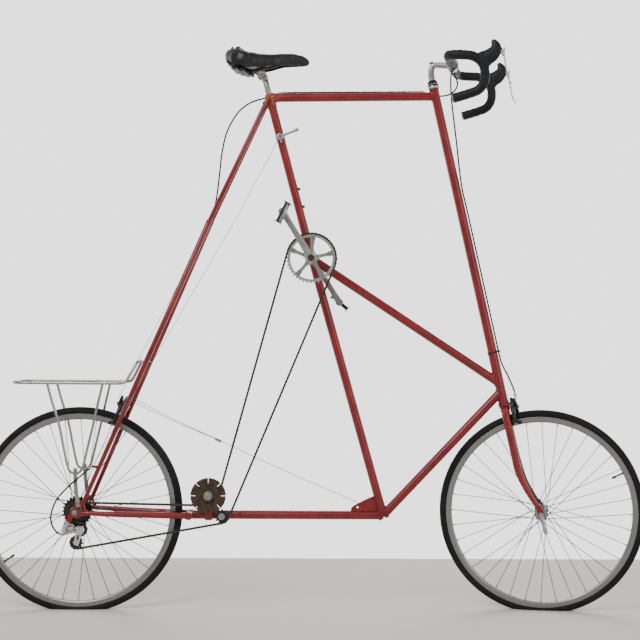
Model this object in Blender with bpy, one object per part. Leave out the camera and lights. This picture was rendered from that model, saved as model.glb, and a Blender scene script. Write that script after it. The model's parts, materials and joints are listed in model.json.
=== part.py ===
"""Tall bicycle: one saddle high above a stretched steel frame, a very long head tube,
drop bars, a rear rack and one long chain led round an idler and a tensioner.

Metres, +Z up, the bicycle points along +X and its chain side is -Y.  The origin is on the
ground, midway between the axles and in the frame's middle plane.  Points are written in the
side plane as (distance ahead of the rear axle, height above the ground)."""
import math

import bmesh
import bpy
from mathutils import Matrix, Quaternion, Vector

# ---------------------------------------------------------------- driving dimensions
WHEELBASE = 1.5145
WHEEL_RADIUS = 0.336          # 700C rim with a 25 mm tyre
TYRE_SECTION = 0.0126         # tyre section radius
RIM_EDGE = 0.3144             # where the rim ends and the tyre starts
RIM_INNER = 0.2950
RIM_HALF_WIDTH = 0.0096
GAP = 0.0003                  # clearance between pieces that touch
TUBE = 0.0143                 # radius of the main tubes
HEAD_TUBE = 0.0162
STEERER = 0.0125
SEATPOST = 0.0100
STAY_TOP = 0.0075
STAY_LOW = 0.0092

SEAT_CLUSTER = (0.609, 1.696)
SEAT_TUBE_TOP = (0.6062, 1.7066)
HEAD_TOP = (1.1516, 1.7316)
HEAD_BOTTOM = (1.3890, 0.6920)
BOTTOM_BRACKET = (0.7530, 1.1640)
LOWER_JOINT = (0.9940, 0.3220)
STAY_YOKE = (0.3610, 0.3220)
STAY_WELD = (0.4118, 1.2738)

CHAIN_Y = -0.047              # chain line, on the right
PITCH = 0.0127
CRANK_LENGTH = 0.1675
CRANK_ANGLE = math.radians(122.0)
COG_TEETH = (15, 17, 19, 21, 24)
COG_SPACING = 0.0050
RAKE = 0.0431                 # front axle ahead of the steering axis
STEER_AT_REST = math.radians(-8.5)   # the bars stand turned a little to the right

IDLER = (0.4260, 0.3910)
TENSIONER = (0.4700, 0.3240)
GUIDE_PULLEY = (0.0140, 0.2800)
TENSION_PULLEY = (0.0030, 0.2380)
HANGER_BOLT = (-0.0234, 0.3036)
BRIDGE = (0.1480, 0.6720)      # seatstay bridge, which carries the rear brake

REAR_DROPOUT_Y = 0.0635       # inner face of the rear dropouts
FRONT_DROPOUT_Y = 0.0500
BAR_CLAMP = (1.2140, 1.8080)
BAR_HALF_WIDTH = 0.2100
BAR_RADIUS = 0.0150


# ---------------------------------------------------------------- points and directions
def place(point, y=0.0):
    """A side-plane point as a point of the model."""
    return Vector((point[0] - WHEELBASE / 2, y, point[1]))


def side(x, z):
    """A direction in the side plane."""
    return Vector((x, 0.0, z)).normalized()


REAR_AXLE = (0.0, WHEEL_RADIUS)
FRONT_AXLE = (WHEELBASE, WHEEL_RADIUS)
DOWN_HEAD = side(HEAD_BOTTOM[0] - HEAD_TOP[0], HEAD_BOTTOM[1] - HEAD_TOP[1])
FORWARD = side(-DOWN_HEAD.z, DOWN_HEAD.x)
HEAD_LENGTH = (place(HEAD_BOTTOM) - place(HEAD_TOP)).length
Y_AXIS = Vector((0.0, 1.0, 0.0))


def on_steering(down, forward=0.0, y=0.0):
    """A point by its distance down the steering axis, ahead of it and to the left."""
    return place(HEAD_TOP) + DOWN_HEAD * down + FORWARD * forward + Y_AXIS * y


def between(a, b, share):
    return (a[0] + (b[0] - a[0]) * share, a[1] + (b[1] - a[1]) * share)


def pitch_radius(teeth):
    return PITCH / (2 * math.sin(math.pi / teeth))


# ---------------------------------------------------------------- scene helpers
def clear_scene():
    for old in list(bpy.data.objects):
        bpy.data.objects.remove(old)


def make_material(name, colour, metallic, roughness):
    made = bpy.data.materials.new(name)
    made.use_nodes = True
    shader = made.node_tree.nodes["Principled BSDF"]
    shader.inputs["Base Color"].default_value = (*colour, 1.0)
    shader.inputs["Metallic"].default_value = metallic
    shader.inputs["Roughness"].default_value = roughness
    return made


FINISHES = {
    "red_paint": ((0.33, 0.02, 0.02), 0.0, 0.35),
    "black_rubber": ((0.02, 0.02, 0.02), 0.0, 0.75),
    "bar_tape": ((0.02, 0.02, 0.022), 0.0, 0.7),
    "rim_alloy": ((0.42, 0.43, 0.42), 1.0, 0.4),
    "steel": ((0.5, 0.5, 0.48), 1.0, 0.35),
    "alloy": ((0.62, 0.62, 0.6), 1.0, 0.35),
    "chrome": ((0.8, 0.8, 0.8), 1.0, 0.12),
    "black_metal": ((0.03, 0.03, 0.03), 0.4, 0.45),
    "rusty_steel": ((0.12, 0.07, 0.045), 0.6, 0.65),
    "chain_steel": ((0.09, 0.08, 0.07), 0.8, 0.5),
    "saddle_cover": ((0.02, 0.02, 0.022), 0.0, 0.5),
    "cable_black": ((0.015, 0.015, 0.015), 0.0, 0.5),
}


def pivot(name, point, parent=None):
    """An empty on a joint's axis; everything that the joint moves hangs from it."""
    made = bpy.data.objects.new(name, None)
    bpy.context.scene.collection.objects.link(made)
    made.empty_display_size = 0.05
    made.location = point
    hang(made, parent)
    return made


def hang(child, parent):
    """Parents without moving: the meshes are drawn where the straight bicycle has them."""
    if parent is not None:
        child.parent = parent
        child.matrix_parent_inverse = Matrix.Translation(-parent.location)


def add_object(name, shape, parent):
    mesh = bpy.data.meshes.new(name)
    bmesh.ops.recalc_face_normals(shape, faces=shape.faces)
    shape.to_mesh(mesh)
    shape.free()
    mesh.shade_smooth()
    mesh.set_sharp_from_angle(angle=math.radians(35))
    made = bpy.data.objects.new(name, mesh)
    bpy.context.scene.collection.objects.link(made)
    hang(made, parent)
    return made


def node(name, finish, shape, parent=None, weld=(), cut=()):
    """One sub-part: a base shape, shapes welded to it, then shapes cut out of it."""
    made = add_object(name, shape, parent)
    made.data.materials.append(make_material(name, *FINISHES[finish]))
    for operation, tools in (("UNION", weld), ("DIFFERENCE", cut)):
        for count, tool in enumerate(tools):
            helper = add_object(f"{name}_{operation.lower()}_{count}", tool, parent)
            helper.hide_render = True
            helper.display_type = "WIRE"
            step = made.modifiers.new(operation.title(), "BOOLEAN")
            step.operation = operation
            step.object = helper
    return made


# ---------------------------------------------------------------- shapes
def merged(*shapes):
    """Several shapes that don't meet, as one tool."""
    whole = bmesh.new()
    for shape in shapes:
        mesh = bpy.data.meshes.new("piece")
        bmesh.ops.recalc_face_normals(shape, faces=shape.faces)
        shape.to_mesh(mesh)
        whole.from_mesh(mesh)
        shape.free()
        bpy.data.meshes.remove(mesh)
    return whole


def skin(shape, rings, closed=False):
    """Faces between rings of vertices, with caps unless the rings close on themselves."""
    count = len(rings[0])
    pairs = list(zip(rings, rings[1:]))
    if closed:
        pairs.append((rings[-1], rings[0]))
    for low, high in pairs:
        for i in range(count):
            j = (i + 1) % count
            shape.faces.new((low[i], low[j], high[j], high[i]))
    if not closed:
        shape.faces.new(rings[0])
        shape.faces.new(rings[-1])


def sweep(points, radii, sides=12, flat=1.0):
    """A round (or flattened) bar through points; radii is one number or one per point."""
    points = [Vector(p) for p in points]
    if not isinstance(radii, (list, tuple)):
        radii = [radii] * len(points)
    shape = bmesh.new()
    rings = []
    across = None
    for i, point in enumerate(points):
        ahead = (points[min(i + 1, len(points) - 1)] - points[max(i - 1, 0)]).normalized()
        if across is None:
            across = Y_AXIS if abs(ahead.y) < 0.9 else Vector((1.0, 0.0, 0.0))
        across = (across - ahead * across.dot(ahead)).normalized()
        other = ahead.cross(across)
        ring = []
        for k in range(sides):
            turn = 2 * math.pi * (k + 0.5) / sides
            offset = across * math.cos(turn) + other * math.sin(turn) * flat
            ring.append(shape.verts.new(point + offset * radii[i]))
        rings.append(ring)
    skin(shape, rings)
    return shape


def rod(a, b, radius, sides=16):
    return sweep([a, b], radius, sides)


def plate(outline, y_from, y_to):
    """A flat outline of side-plane points, thick from one y to another."""
    shape = bmesh.new()
    rings = [[shape.verts.new(place(p, y)) for p in outline] for y in (y_from, y_to)]
    skin(shape, rings)
    return shape


def turned(profile, centre, sides=24, hollow=False):
    """A profile of (radius, y) turned about a line along Y through centre."""
    shape = bmesh.new()
    middle = place(centre)
    rings = []
    for radius, y in profile:
        ring = []
        for k in range(sides):
            turn = 2 * math.pi * k / sides
            offset = Vector((radius * math.cos(turn), y, radius * math.sin(turn)))
            ring.append(shape.verts.new(middle + offset))
        rings.append(ring)
    skin(shape, rings, closed=hollow)
    return shape


def lengthwise(profile, start, direction, sides=12, hollow=False):
    """A profile of (radius, distance) turned about any line."""
    shape = bmesh.new()
    across = direction.cross(Y_AXIS).normalized()
    other = direction.cross(across)
    rings = []
    for radius, distance in profile:
        ring = []
        for k in range(sides):
            turn = 2 * math.pi * (k + 0.5) / sides
            offset = (across * math.cos(turn) + other * math.sin(turn)) * radius
            ring.append(shape.verts.new(start + direction * distance + offset))
        rings.append(ring)
    skin(shape, rings, closed=hollow)
    return shape


def block(centre, size, along=None):
    """A box; its first size lies along a side-plane direction, its second along Y."""
    along = along or Vector((1.0, 0.0, 0.0))
    up = along.cross(Y_AXIS)
    shape = bmesh.new()
    rings = []
    for sign in (-1, 1):
        ring = []
        for s, t in ((-1, -1), (-1, 1), (1, 1), (1, -1)):
            corner = along * size[0] * sign + Y_AXIS * size[1] * s + up * size[2] * t
            ring.append(shape.verts.new(centre + corner / 2))
        rings.append(ring)
    skin(shape, rings)
    return shape


def gear(centre, y_from, y_to, teeth, bore, phase=0.0):
    """A toothed ring with one point to each tooth and one to each gap."""
    root = pitch_radius(teeth) - 0.0038
    tip = pitch_radius(teeth) + 0.0022
    middle = place(centre)
    shape = bmesh.new()
    rings = []
    for y, hole in ((y_from, False), (y_to, False), (y_to, True), (y_from, True)):
        ring = []
        for k in range(2 * teeth):
            turn = phase + math.pi * k / teeth
            radius = bore if hole else (root if k % 2 else tip)
            offset = Vector((radius * math.cos(turn), y, radius * math.sin(turn)))
            ring.append(shape.verts.new(middle + offset))
        rings.append(ring)
    skin(shape, rings, closed=True)
    return shape


def smooth_route(points, spacing):
    """A smooth curve through a route's points (Catmull-Rom), about spacing apart."""
    points = [Vector(p) for p in points]
    padded = [2 * points[0] - points[1], *points, 2 * points[-1] - points[-2]]
    route = []
    for a, b, c, d in zip(padded, padded[1:], padded[2:], padded[3:]):
        steps = max(1, round((c - b).length / spacing))
        for k in range(steps):
            t = k / steps
            bend = (2 * a - 5 * b + 4 * c - d) * t * t
            twist = (3 * b - a - 3 * c + d) * t ** 3
            route.append((2 * b + (c - a) * t + bend + twist) / 2)
    return [*route, points[-1]]


# ---------------------------------------------------------------- frame
def tube_lines():
    """Centre line and radius of each main tube."""
    seat_top = place(SEAT_TUBE_TOP)
    crank_centre = place(BOTTOM_BRACKET)
    low = place(LOWER_JOINT)
    return {
        "head": (on_steering(-0.01), on_steering(HEAD_LENGTH + 0.01), HEAD_TUBE),
        "top": (place(SEAT_CLUSTER), on_steering(0.0262), TUBE),
        "seat": (seat_top, crank_centre, TUBE),
        "seat_low": (crank_centre, low + side(0.276, -0.961) * 0.012, TUBE),
        "mid": (crank_centre, on_steering(0.9990), TUBE),
        "down": (low, on_steering(1.0265), TUBE),
        "bottom": (low, place(STAY_YOKE), TUBE),
    }


def tube_shape(line, extra=0.0):
    start, end, radius = line
    return rod(start, end, radius + extra)


def longer(line, reach=0.03):
    start, end, radius = line
    way = (end - start).normalized() * reach
    return (start - way, end + way, radius)


def bracket_shell(extra=0.0):
    width = 0.034 + extra
    return turned([(0.0205 + extra, -width), (0.0205 + extra, width)], BOTTOM_BRACKET)


def build_main_tubes():
    lines = tube_lines()

    def cutters(*names):
        return [tube_shape(longer(lines[n]), GAP) for n in names]

    bore = rod(on_steering(-0.02), on_steering(HEAD_LENGTH + 0.02), 0.0134)
    head = rod(on_steering(0), on_steering(HEAD_LENGTH), HEAD_TUBE)
    node("head_tube", "red_paint", head, cut=[bore])
    node("top_tube", "red_paint", tube_shape(lines["top"]), cut=cutters("head", "seat"))
    post_axis = (place(SEAT_TUBE_TOP) - place(BOTTOM_BRACKET)).normalized()
    post_bore = rod(place(SEAT_TUBE_TOP) + post_axis * 0.01,
                    place(SEAT_TUBE_TOP) - post_axis * 0.25, SEATPOST + 0.0004)
    cartridge_bore = turned([(0.0175, -0.05), (0.0175, 0.05)], BOTTOM_BRACKET)
    bosses = [rod(place(p), place(p) + side(0.966, 0.259) * 0.0185, 0.005, 12)
              for p in ((0.6915, 1.390), (0.7070, 1.332))]
    node("seat_tube", "red_paint", tube_shape(lines["seat"]),
         weld=[tube_shape(lines["seat_low"]), bracket_shell(), merged(*bosses)],
         cut=[post_bore, cartridge_bore])
    node("mid_tube", "red_paint", tube_shape(lines["mid"]),
         cut=[bracket_shell(GAP), *cutters("head", "seat", "seat_low")])
    node("down_tube", "red_paint", tube_shape(lines["down"]),
         cut=cutters("head", "mid", "seat_low"))
    build_bottom_tube(lines, cutters)
    gusset = [(0.8905, 0.330), (0.8925, 0.345), (0.9120, 0.357), (0.9620, 0.380), (0.9890, 0.381),
              (0.9890, 0.330)]
    node("gusset_plate", "red_paint", plate(gusset, -0.0035, 0.0035),
         cut=cutters("seat_low", "bottom"))


def build_bottom_tube(lines, cutters):
    """The level tube, its cross yoke and the two tabs that carry idler and tensioner."""
    yoke = rod(place(STAY_YOKE, -0.040), place(STAY_YOKE, 0.040), 0.0125)
    stub = rod(place((IDLER[0], STAY_YOKE[1]), -0.005), place((IDLER[0], STAY_YOKE[1]), -0.037), 0.009)
    idler_tab = plate([(IDLER[0] + x, z) for x, z in
                       ((-0.013, 0.312), (0.013, 0.312), (0.010, 0.402), (-0.010, 0.402))],
                      -0.0395, -0.0345)
    idler_bolt = rod(place(IDLER, -0.036), place(IDLER, -0.0665), 0.0048)
    tension_bolt = rod(place(TENSIONER, -0.005), place(TENSIONER, -0.0560), 0.0048)
    node("bottom_tube", "red_paint", tube_shape(lines["bottom"]),
         weld=[yoke, stub, idler_tab, idler_bolt, tension_bolt],
         cut=cutters("seat_low", "down"))


def dropout_outline(right):
    hanger = [(-0.014, 0.006), (-0.021, -0.008), (-0.034, -0.028), (-0.031, -0.041),
              (-0.018, -0.043), (-0.006, -0.016)]
    plain = [(-0.014, 0.006), (-0.015, -0.007), (-0.006, -0.014)]
    rest = [(0.010, -0.012), (0.040, -0.009), (0.040, 0.008), (0.030, 0.034), (0.016, 0.038),
            (0.000, 0.030), (-0.007, 0.015)]
    return [(x, WHEEL_RADIUS + z) for x, z in (hanger if right else plain) + rest]


def build_stays(sign, name):
    """Chainstay with its dropout, and the seatstay, of one side; sign -1 is the right."""
    inner = sign * REAR_DROPOUT_Y
    outer = sign * (REAR_DROPOUT_Y + 0.004)
    outline = dropout_outline(sign < 0)
    stay = sweep([place(STAY_YOKE, sign * 0.028), place((0.030, 0.335), sign * 0.0625)],
                 [0.0105, 0.0075], 16)
    yoke = rod(place(STAY_YOKE, -0.0405), place(STAY_YOKE, 0.0405), 0.0125 + GAP)
    axle_hole = turned([(0.0052, inner - 0.01), (0.0052, inner + 0.01)], REAR_AXLE)
    node(f"chainstay_{name}", "red_paint", stay, weld=[plate(outline, inner, outer)],
         cut=[yoke, axle_hole])
    line = [place((0.6030, 1.6900), sign * 0.017), place(STAY_WELD, sign * 0.023),
            place((0.0220, 0.3640), sign * 0.0630)]
    radii = [STAY_TOP, STAY_LOW, 0.0080]
    lines = tube_lines()
    thick = plate(outline, inner - sign * GAP, outer + sign * GAP)
    bmesh.ops.scale(thick, vec=(1.02, 1.0, 1.02), verts=thick.verts,
                    space=Matrix.Translation(-place((0.01, WHEEL_RADIUS), inner)))
    cutters = [thick, tube_shape(longer(lines["seat"]), GAP), tube_shape(lines["top"], GAP)]
    bridge_end = seatstay_at(BRIDGE[1])
    bridge = []
    if sign > 0:
        bridge = [rod(place(BRIDGE, -bridge_end), place(BRIDGE, bridge_end), 0.006, 12)]
        grown = [radius + GAP for radius in radii]
        cutters.append(sweep([Vector((p.x, -p.y, p.z)) for p in line], grown, 14))
    node(f"seatstay_{name}", "red_paint", sweep(line, radii, 14), weld=bridge, cut=cutters)


def seatstay_at(height):
    """Y distance of a seatstay's centre at a height below the weld."""
    share = (STAY_WELD[1] - height) / (STAY_WELD[1] - 0.3640)
    return 0.023 + share * 0.040


def build_headset():
    start = on_steering(0)
    upper = [(0.0134, -0.0003), (0.0190, -0.0003), (0.0200, -0.006), (0.0180, -0.014),
             (0.0134, -0.014)]
    lower = [(0.0134, HEAD_LENGTH + 0.0003), (0.0190, HEAD_LENGTH + 0.0003),
             (0.0200, HEAD_LENGTH + 0.007), (0.0175, HEAD_LENGTH + 0.011),
             (0.0134, HEAD_LENGTH + 0.011)]
    node("headset_upper_cup", "steel", lengthwise(upper, start, DOWN_HEAD, hollow=True))
    node("headset_lower_cup", "steel", lengthwise(lower, start, DOWN_HEAD, hollow=True))


# ---------------------------------------------------------------- wheels
def build_wheel(name, centre, flanges, parent):
    """Tyre, rim, and the hub with its 36 crossed spokes."""
    segments = 48
    section = WHEEL_RADIUS - TYRE_SECTION
    inside = RIM_EDGE + GAP * 2
    half_angle = math.acos((inside - section) / TYRE_SECTION)
    steps = 7
    tyre = []
    for k in range(steps):
        turn = half_angle * (2 * k / (steps - 1) - 1)
        tyre.append((section + TYRE_SECTION * math.cos(turn), TYRE_SECTION * math.sin(turn)))
    node(f"{name}_tyre", "black_rubber", turned(tyre, centre, segments, hollow=True), parent)
    half = RIM_HALF_WIDTH
    rim = [(RIM_INNER, -0.004), (RIM_INNER, 0.004), (RIM_INNER + 0.005, half),
           (RIM_EDGE, half), (RIM_EDGE, -half), (RIM_INNER + 0.005, -half)]
    node(f"{name}_rim", "rim_alloy", turned(rim, centre, segments, hollow=True), parent)
    low, high = flanges
    hub = [(0.0054, low - 0.004), (0.0120, low - 0.004), (0.0120, low - 0.0015),
           (0.0220, low - 0.0015), (0.0220, low + 0.0015), (0.0110, low + 0.0060),
           (0.0110, high - 0.0060), (0.0220, high - 0.0015), (0.0220, high + 0.0015),
           (0.0120, high + 0.0015), (0.0120, high + 0.004), (0.0054, high + 0.004)]
    node(f"{name}_spokes", "steel", turned(hub, centre, 16, hollow=True), parent,
         weld=[spoke_set(centre, flanges)])


def spoke_set(centre, flanges, crosses_turn=math.radians(60)):
    """18 spokes to each flange, half leading and half trailing, on either face of it."""
    middle = place(centre)
    spokes = []
    for flange, start in zip(flanges, (0.0, math.radians(10))):
        for k in range(18):
            way = 1 if k % 2 else -1
            hub_turn = start + math.radians(20 * k)
            rim_turn = hub_turn + way * crosses_turn
            ends = []
            for turn, radius, y in ((hub_turn, 0.0195, flange + way * 0.0019),
                                    (rim_turn, RIM_INNER - 0.0015, way * 0.0009)):
                ends.append(middle + Vector((radius * math.cos(turn), y, radius * math.sin(turn))))
            spokes.append(sweep(ends, 0.0008, 3))
    return merged(*spokes)


def build_axles(steering):
    edge = REAR_DROPOUT_Y
    rear = [(0.0075, -edge - 0.0135), (0.0085, -edge - 0.0045), (0.0048, -edge - 0.0045),
            (0.0048, -edge + 0.0003), (0.0080, -edge + 0.0003), (0.0080, -edge + 0.0090),
            (0.0048, -edge + 0.0100), (0.0048, edge - 0.0200), (0.0080, edge - 0.0190),
            (0.0080, edge - 0.0003), (0.0048, edge - 0.0003), (0.0048, edge + 0.0043),
            (0.0085, edge + 0.0043), (0.0085, edge + 0.0100)]
    node("rear_axle", "steel", turned(rear, REAR_AXLE, 12))
    edge = FRONT_DROPOUT_Y
    front = [(0.0085, -edge - 0.0095), (0.0085, -edge - 0.0043), (0.0045, -edge - 0.0043),
             (0.0045, -edge + 0.0003), (0.0080, -edge + 0.0003), (0.0080, -edge + 0.0080),
             (0.0045, -edge + 0.0085), (0.0045, edge - 0.0085), (0.0080, edge - 0.0080),
             (0.0080, edge - 0.0003), (0.0045, edge - 0.0003), (0.0045, edge + 0.0043),
             (0.0085, edge + 0.0043), (0.0080, edge + 0.0130)]
    node("front_axle", "steel", turned(front, FRONT_AXLE, 12), steering)


def build_quick_release(name, centre, y, reach, parent):
    """A lever that lies beside the dropout and swings outwards about its cam."""
    cam = place(centre, y)
    away = math.copysign(1.0, y)
    made = pivot(f"{name}_axis", cam, parent)
    path = [cam + side(*reach) * d + Y_AXIS * away * out
            for d, out in ((-0.003, 0.0), (0.010, 0.0), (0.032, 0.003), (0.060, 0.008))]
    node(name, "alloy", sweep(path, [0.0040, 0.0045, 0.0052, 0.0045], 10, flat=1.6), made)


# ---------------------------------------------------------------- drive
DRIVE = {
    "chainring": (BOTTOM_BRACKET, 40, -1),
    "tensioner": (TENSIONER, 11, -1),
    "tension_pulley": (TENSION_PULLEY, 10, -1),
    "guide_pulley": (GUIDE_PULLEY, 10, 1),
    "cog": (REAR_AXLE, COG_TEETH[0], -1),
    "idler": (IDLER, 16, 1),
}


def chain_path(step=math.radians(30)):
    """The chain's line through every wheel, in the order in which the chain runs.

    Each point is (side-plane point, heading of the chain, True where the chain is free)."""
    wheels = list(DRIVE.values())
    lines = []
    for (a, a_teeth, a_way), (b, b_teeth, b_way) in zip(wheels, wheels[1:] + wheels[:1]):
        dx, dz = b[0] - a[0], b[1] - a[1]
        lift = b_way * pitch_radius(b_teeth) - a_way * pitch_radius(a_teeth)
        turn = math.atan2(dz, dx) - math.asin(lift / math.hypot(dx, dz))
        left = (-math.sin(turn), math.cos(turn))
        start = tuple(a[i] - a_way * pitch_radius(a_teeth) * left[i] for i in (0, 1))
        end = tuple(b[i] - b_way * pitch_radius(b_teeth) * left[i] for i in (0, 1))
        lines.append((turn, start, end))
    points = []
    for i, (centre, teeth, way) in enumerate(wheels):
        turn_in = lines[i - 1][0]
        turn_out, start, end = lines[i]
        swing = (turn_out - turn_in) * way % (2 * math.pi) * way
        arcs = max(2, round(abs(swing) / step))
        for k in range(arcs + 1):
            turn = turn_in + swing * k / arcs
            out = (math.sin(turn) * way, -math.cos(turn) * way)
            radius = pitch_radius(teeth)
            points.append(((centre[0] + radius * out[0], centre[1] + radius * out[1]), turn, False))
        free = max(1, round(math.dist(start, end) / 0.16))
        for k in range(1, free):
            points.append((between(start, end, k / free), turn_out, True))
    return points


def build_chain():
    """Two long side strips, joined by rollers only where the chain is off its wheels."""
    path = chain_path()
    strips = []
    for y_from, y_to in ((0.0016, 0.0032), (-0.0032, -0.0016)):
        strip = bmesh.new()
        rings = []
        for point, turn, free in path:
            out = Vector((math.sin(turn), 0.0, -math.cos(turn))) * 0.0038
            middle = place(point)
            corners = ((out, y_from), (out, y_to), (-out, y_to), (-out, y_from))
            rings.append([strip.verts.new(middle + o + Y_AXIS * (CHAIN_Y + y)) for o, y in corners])
        skin(strip, rings, closed=True)
        strips.append(strip)
    rollers = [rod(place(p, CHAIN_Y - 0.0024), place(p, CHAIN_Y + 0.0024), 0.0030, 6)
               for p, turn, free in path if free]
    node("chain", "chain_steel", merged(*strips), weld=[merged(*rollers)])


def build_crankset():
    centre = place(BOTTOM_BRACKET)
    shell_ring = [(0.0086, -0.0365), (0.0171, -0.0365), (0.0171, 0.0365), (0.0086, 0.0365)]
    node("bottom_bracket", "steel", turned(shell_ring, BOTTOM_BRACKET, hollow=True))
    axis = pivot("crank_axis", centre)
    ring = gear(BOTTOM_BRACKET, CHAIN_Y - 0.001, CHAIN_Y + 0.001, 40, 0.0660)
    node("chainring", "alloy", ring, axis)
    for name, sign, angle in (("right", -1, CRANK_ANGLE), ("left", 1, CRANK_ANGLE + math.pi)):
        end = (BOTTOM_BRACKET[0] + CRANK_LENGTH * math.cos(angle),
               BOTTOM_BRACKET[1] + CRANK_LENGTH * math.sin(angle))
        arm = plate(arm_outline(BOTTOM_BRACKET, end, 0.0165, 0.0120), sign * 0.0620, sign * 0.0740)
        spindle_end = place(end, sign * 0.1500)
        weld = [rod(place(end, sign * 0.0700), spindle_end, 0.0048, 12)]
        inner = 0.0485 if name == "right" else 0.0520
        weld.append(turned([(0.0160, sign * inner), (0.0150, sign * 0.0740)], BOTTOM_BRACKET))
        if name == "right":
            weld.append(spider(angle))
            spindle_hole = turned([(0.0083, -0.045), (0.0083, -0.070)], BOTTOM_BRACKET)
            node("crank_right", "alloy", arm, axis, weld=weld, cut=[spindle_hole])
        else:
            weld.append(turned([(0.0080, -0.0690), (0.0080, 0.0600)], BOTTOM_BRACKET))
            node("crank_left", "alloy", arm, axis, weld=weld)
        pedal_axis = pivot(f"pedal_{name}_axis", place(end, sign * 0.1150), axis)
        build_pedal(name, end, sign, pedal_axis)


def arm_outline(start, end, radius_start, radius_end, steps=6):
    """A long outline with a round end at both points."""
    turn = math.atan2(end[1] - start[1], end[0] - start[0])
    outline = []
    for centre, radius, base in ((start, radius_start, turn + math.pi), (end, radius_end, turn)):
        for k in range(steps + 1):
            angle = base - math.pi / 2 + math.pi * k / steps
            outline.append((centre[0] + radius * math.cos(angle), centre[1] + radius * math.sin(angle)))
    return outline


def spider(crank_angle):
    """A five-pointed star plate behind the right arm, its points between the crank's line."""
    outline = []
    for k in range(5):
        turn = crank_angle + math.radians(36 + 72 * k)
        for angle, radius in ((-0.09, 0.0715), (0.09, 0.0715), (math.radians(36), 0.0190)):
            outline.append((BOTTOM_BRACKET[0] + radius * math.cos(turn + angle),
                            BOTTOM_BRACKET[1] + radius * math.sin(turn + angle)))
    return plate(outline, -0.0520, -0.0485)


PEDAL_TILT = {"right": math.radians(64), "left": math.radians(-40)}


def build_pedal(name, centre, sign, axis):
    """A quill pedal: a barrel on the spindle inside a cage of four plates."""
    along = side(math.cos(PEDAL_TILT[name]), math.sin(PEDAL_TILT[name]))
    near, far = sign * 0.0800, sign * 0.1620
    barrel = turned([(0.0125, near), (0.0110, far)], centre, 16)
    middle = place(centre, (near + far) / 2)
    width = abs(far - near)
    plates = [block(middle + along * s * 0.0340, (0.0025, width, 0.0220), along) for s in (-1, 1)]
    ends = [block(place(centre, y), (0.0700, 0.0030, 0.0160), along)
            for y in (near + sign * 0.0100, far - sign * 0.0030)]
    hole = turned([(0.0053, near - sign * 0.01), (0.0053, sign * 0.1510)], centre, 16)
    node(f"pedal_{name}", "black_metal", barrel, axis,
         weld=[merged(*plates), merged(*ends)], cut=[hole])


def build_freewheel():
    axis = pivot("freewheel_axis", place(REAR_AXLE))
    body = 0.0215
    profile = [(0.0120, -0.0235), (0.0120, -0.0500), (body, -0.0500)]
    for k, teeth in enumerate(COG_TEETH):
        middle = CHAIN_Y + k * COG_SPACING
        radius = pitch_radius(teeth) + (0.0022 if k else -0.0020)
        profile += [(body, middle - 0.001), (radius, middle - 0.001),
                    (radius, middle + 0.001), (body, middle + 0.001)]
    profile.append((body, -0.0235))
    node("freewheel", "black_metal", turned(profile, REAR_AXLE, 18, hollow=True), axis)


def build_idler_and_tensioner():
    axis = pivot("idler_axis", place(IDLER))
    boss = [(0.0053, -0.0640), (0.0155, -0.0640), (0.0155, -0.0545), (0.0575, -0.0545),
            (0.0575, -0.0530), (0.0155, -0.0530), (0.0155, -0.0420), (0.0053, -0.0420)]
    slots = []
    for k in range(8):
        turn = math.radians(45 * k + 90)
        way = side(math.cos(turn), math.sin(turn))
        slots.append(block(place(IDLER, -0.0535) + way * 0.0500, (0.0220, 0.0060, 0.0052), way))
    node("idler_sprocket", "rusty_steel", turned(boss, IDLER, 24, hollow=True), axis,
         weld=[gear(IDLER, CHAIN_Y - 0.001, CHAIN_Y + 0.001, 16, 0.0120)], cut=[merged(*slots)])
    axis = pivot("tensioner_axis", place(TENSIONER))
    node("tensioner_pulley", "black_metal",
         gear(TENSIONER, CHAIN_Y - 0.0011, CHAIN_Y + 0.0011, 11, 0.0053), axis)


LINK_PIVOT = (-0.0300, 0.2780)
LINK_PIVOT_Y = -0.0600
KNUCKLE_PIVOT = (0.0075, 0.2880)
KNUCKLE_PIVOT_Y = -0.0700


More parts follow.
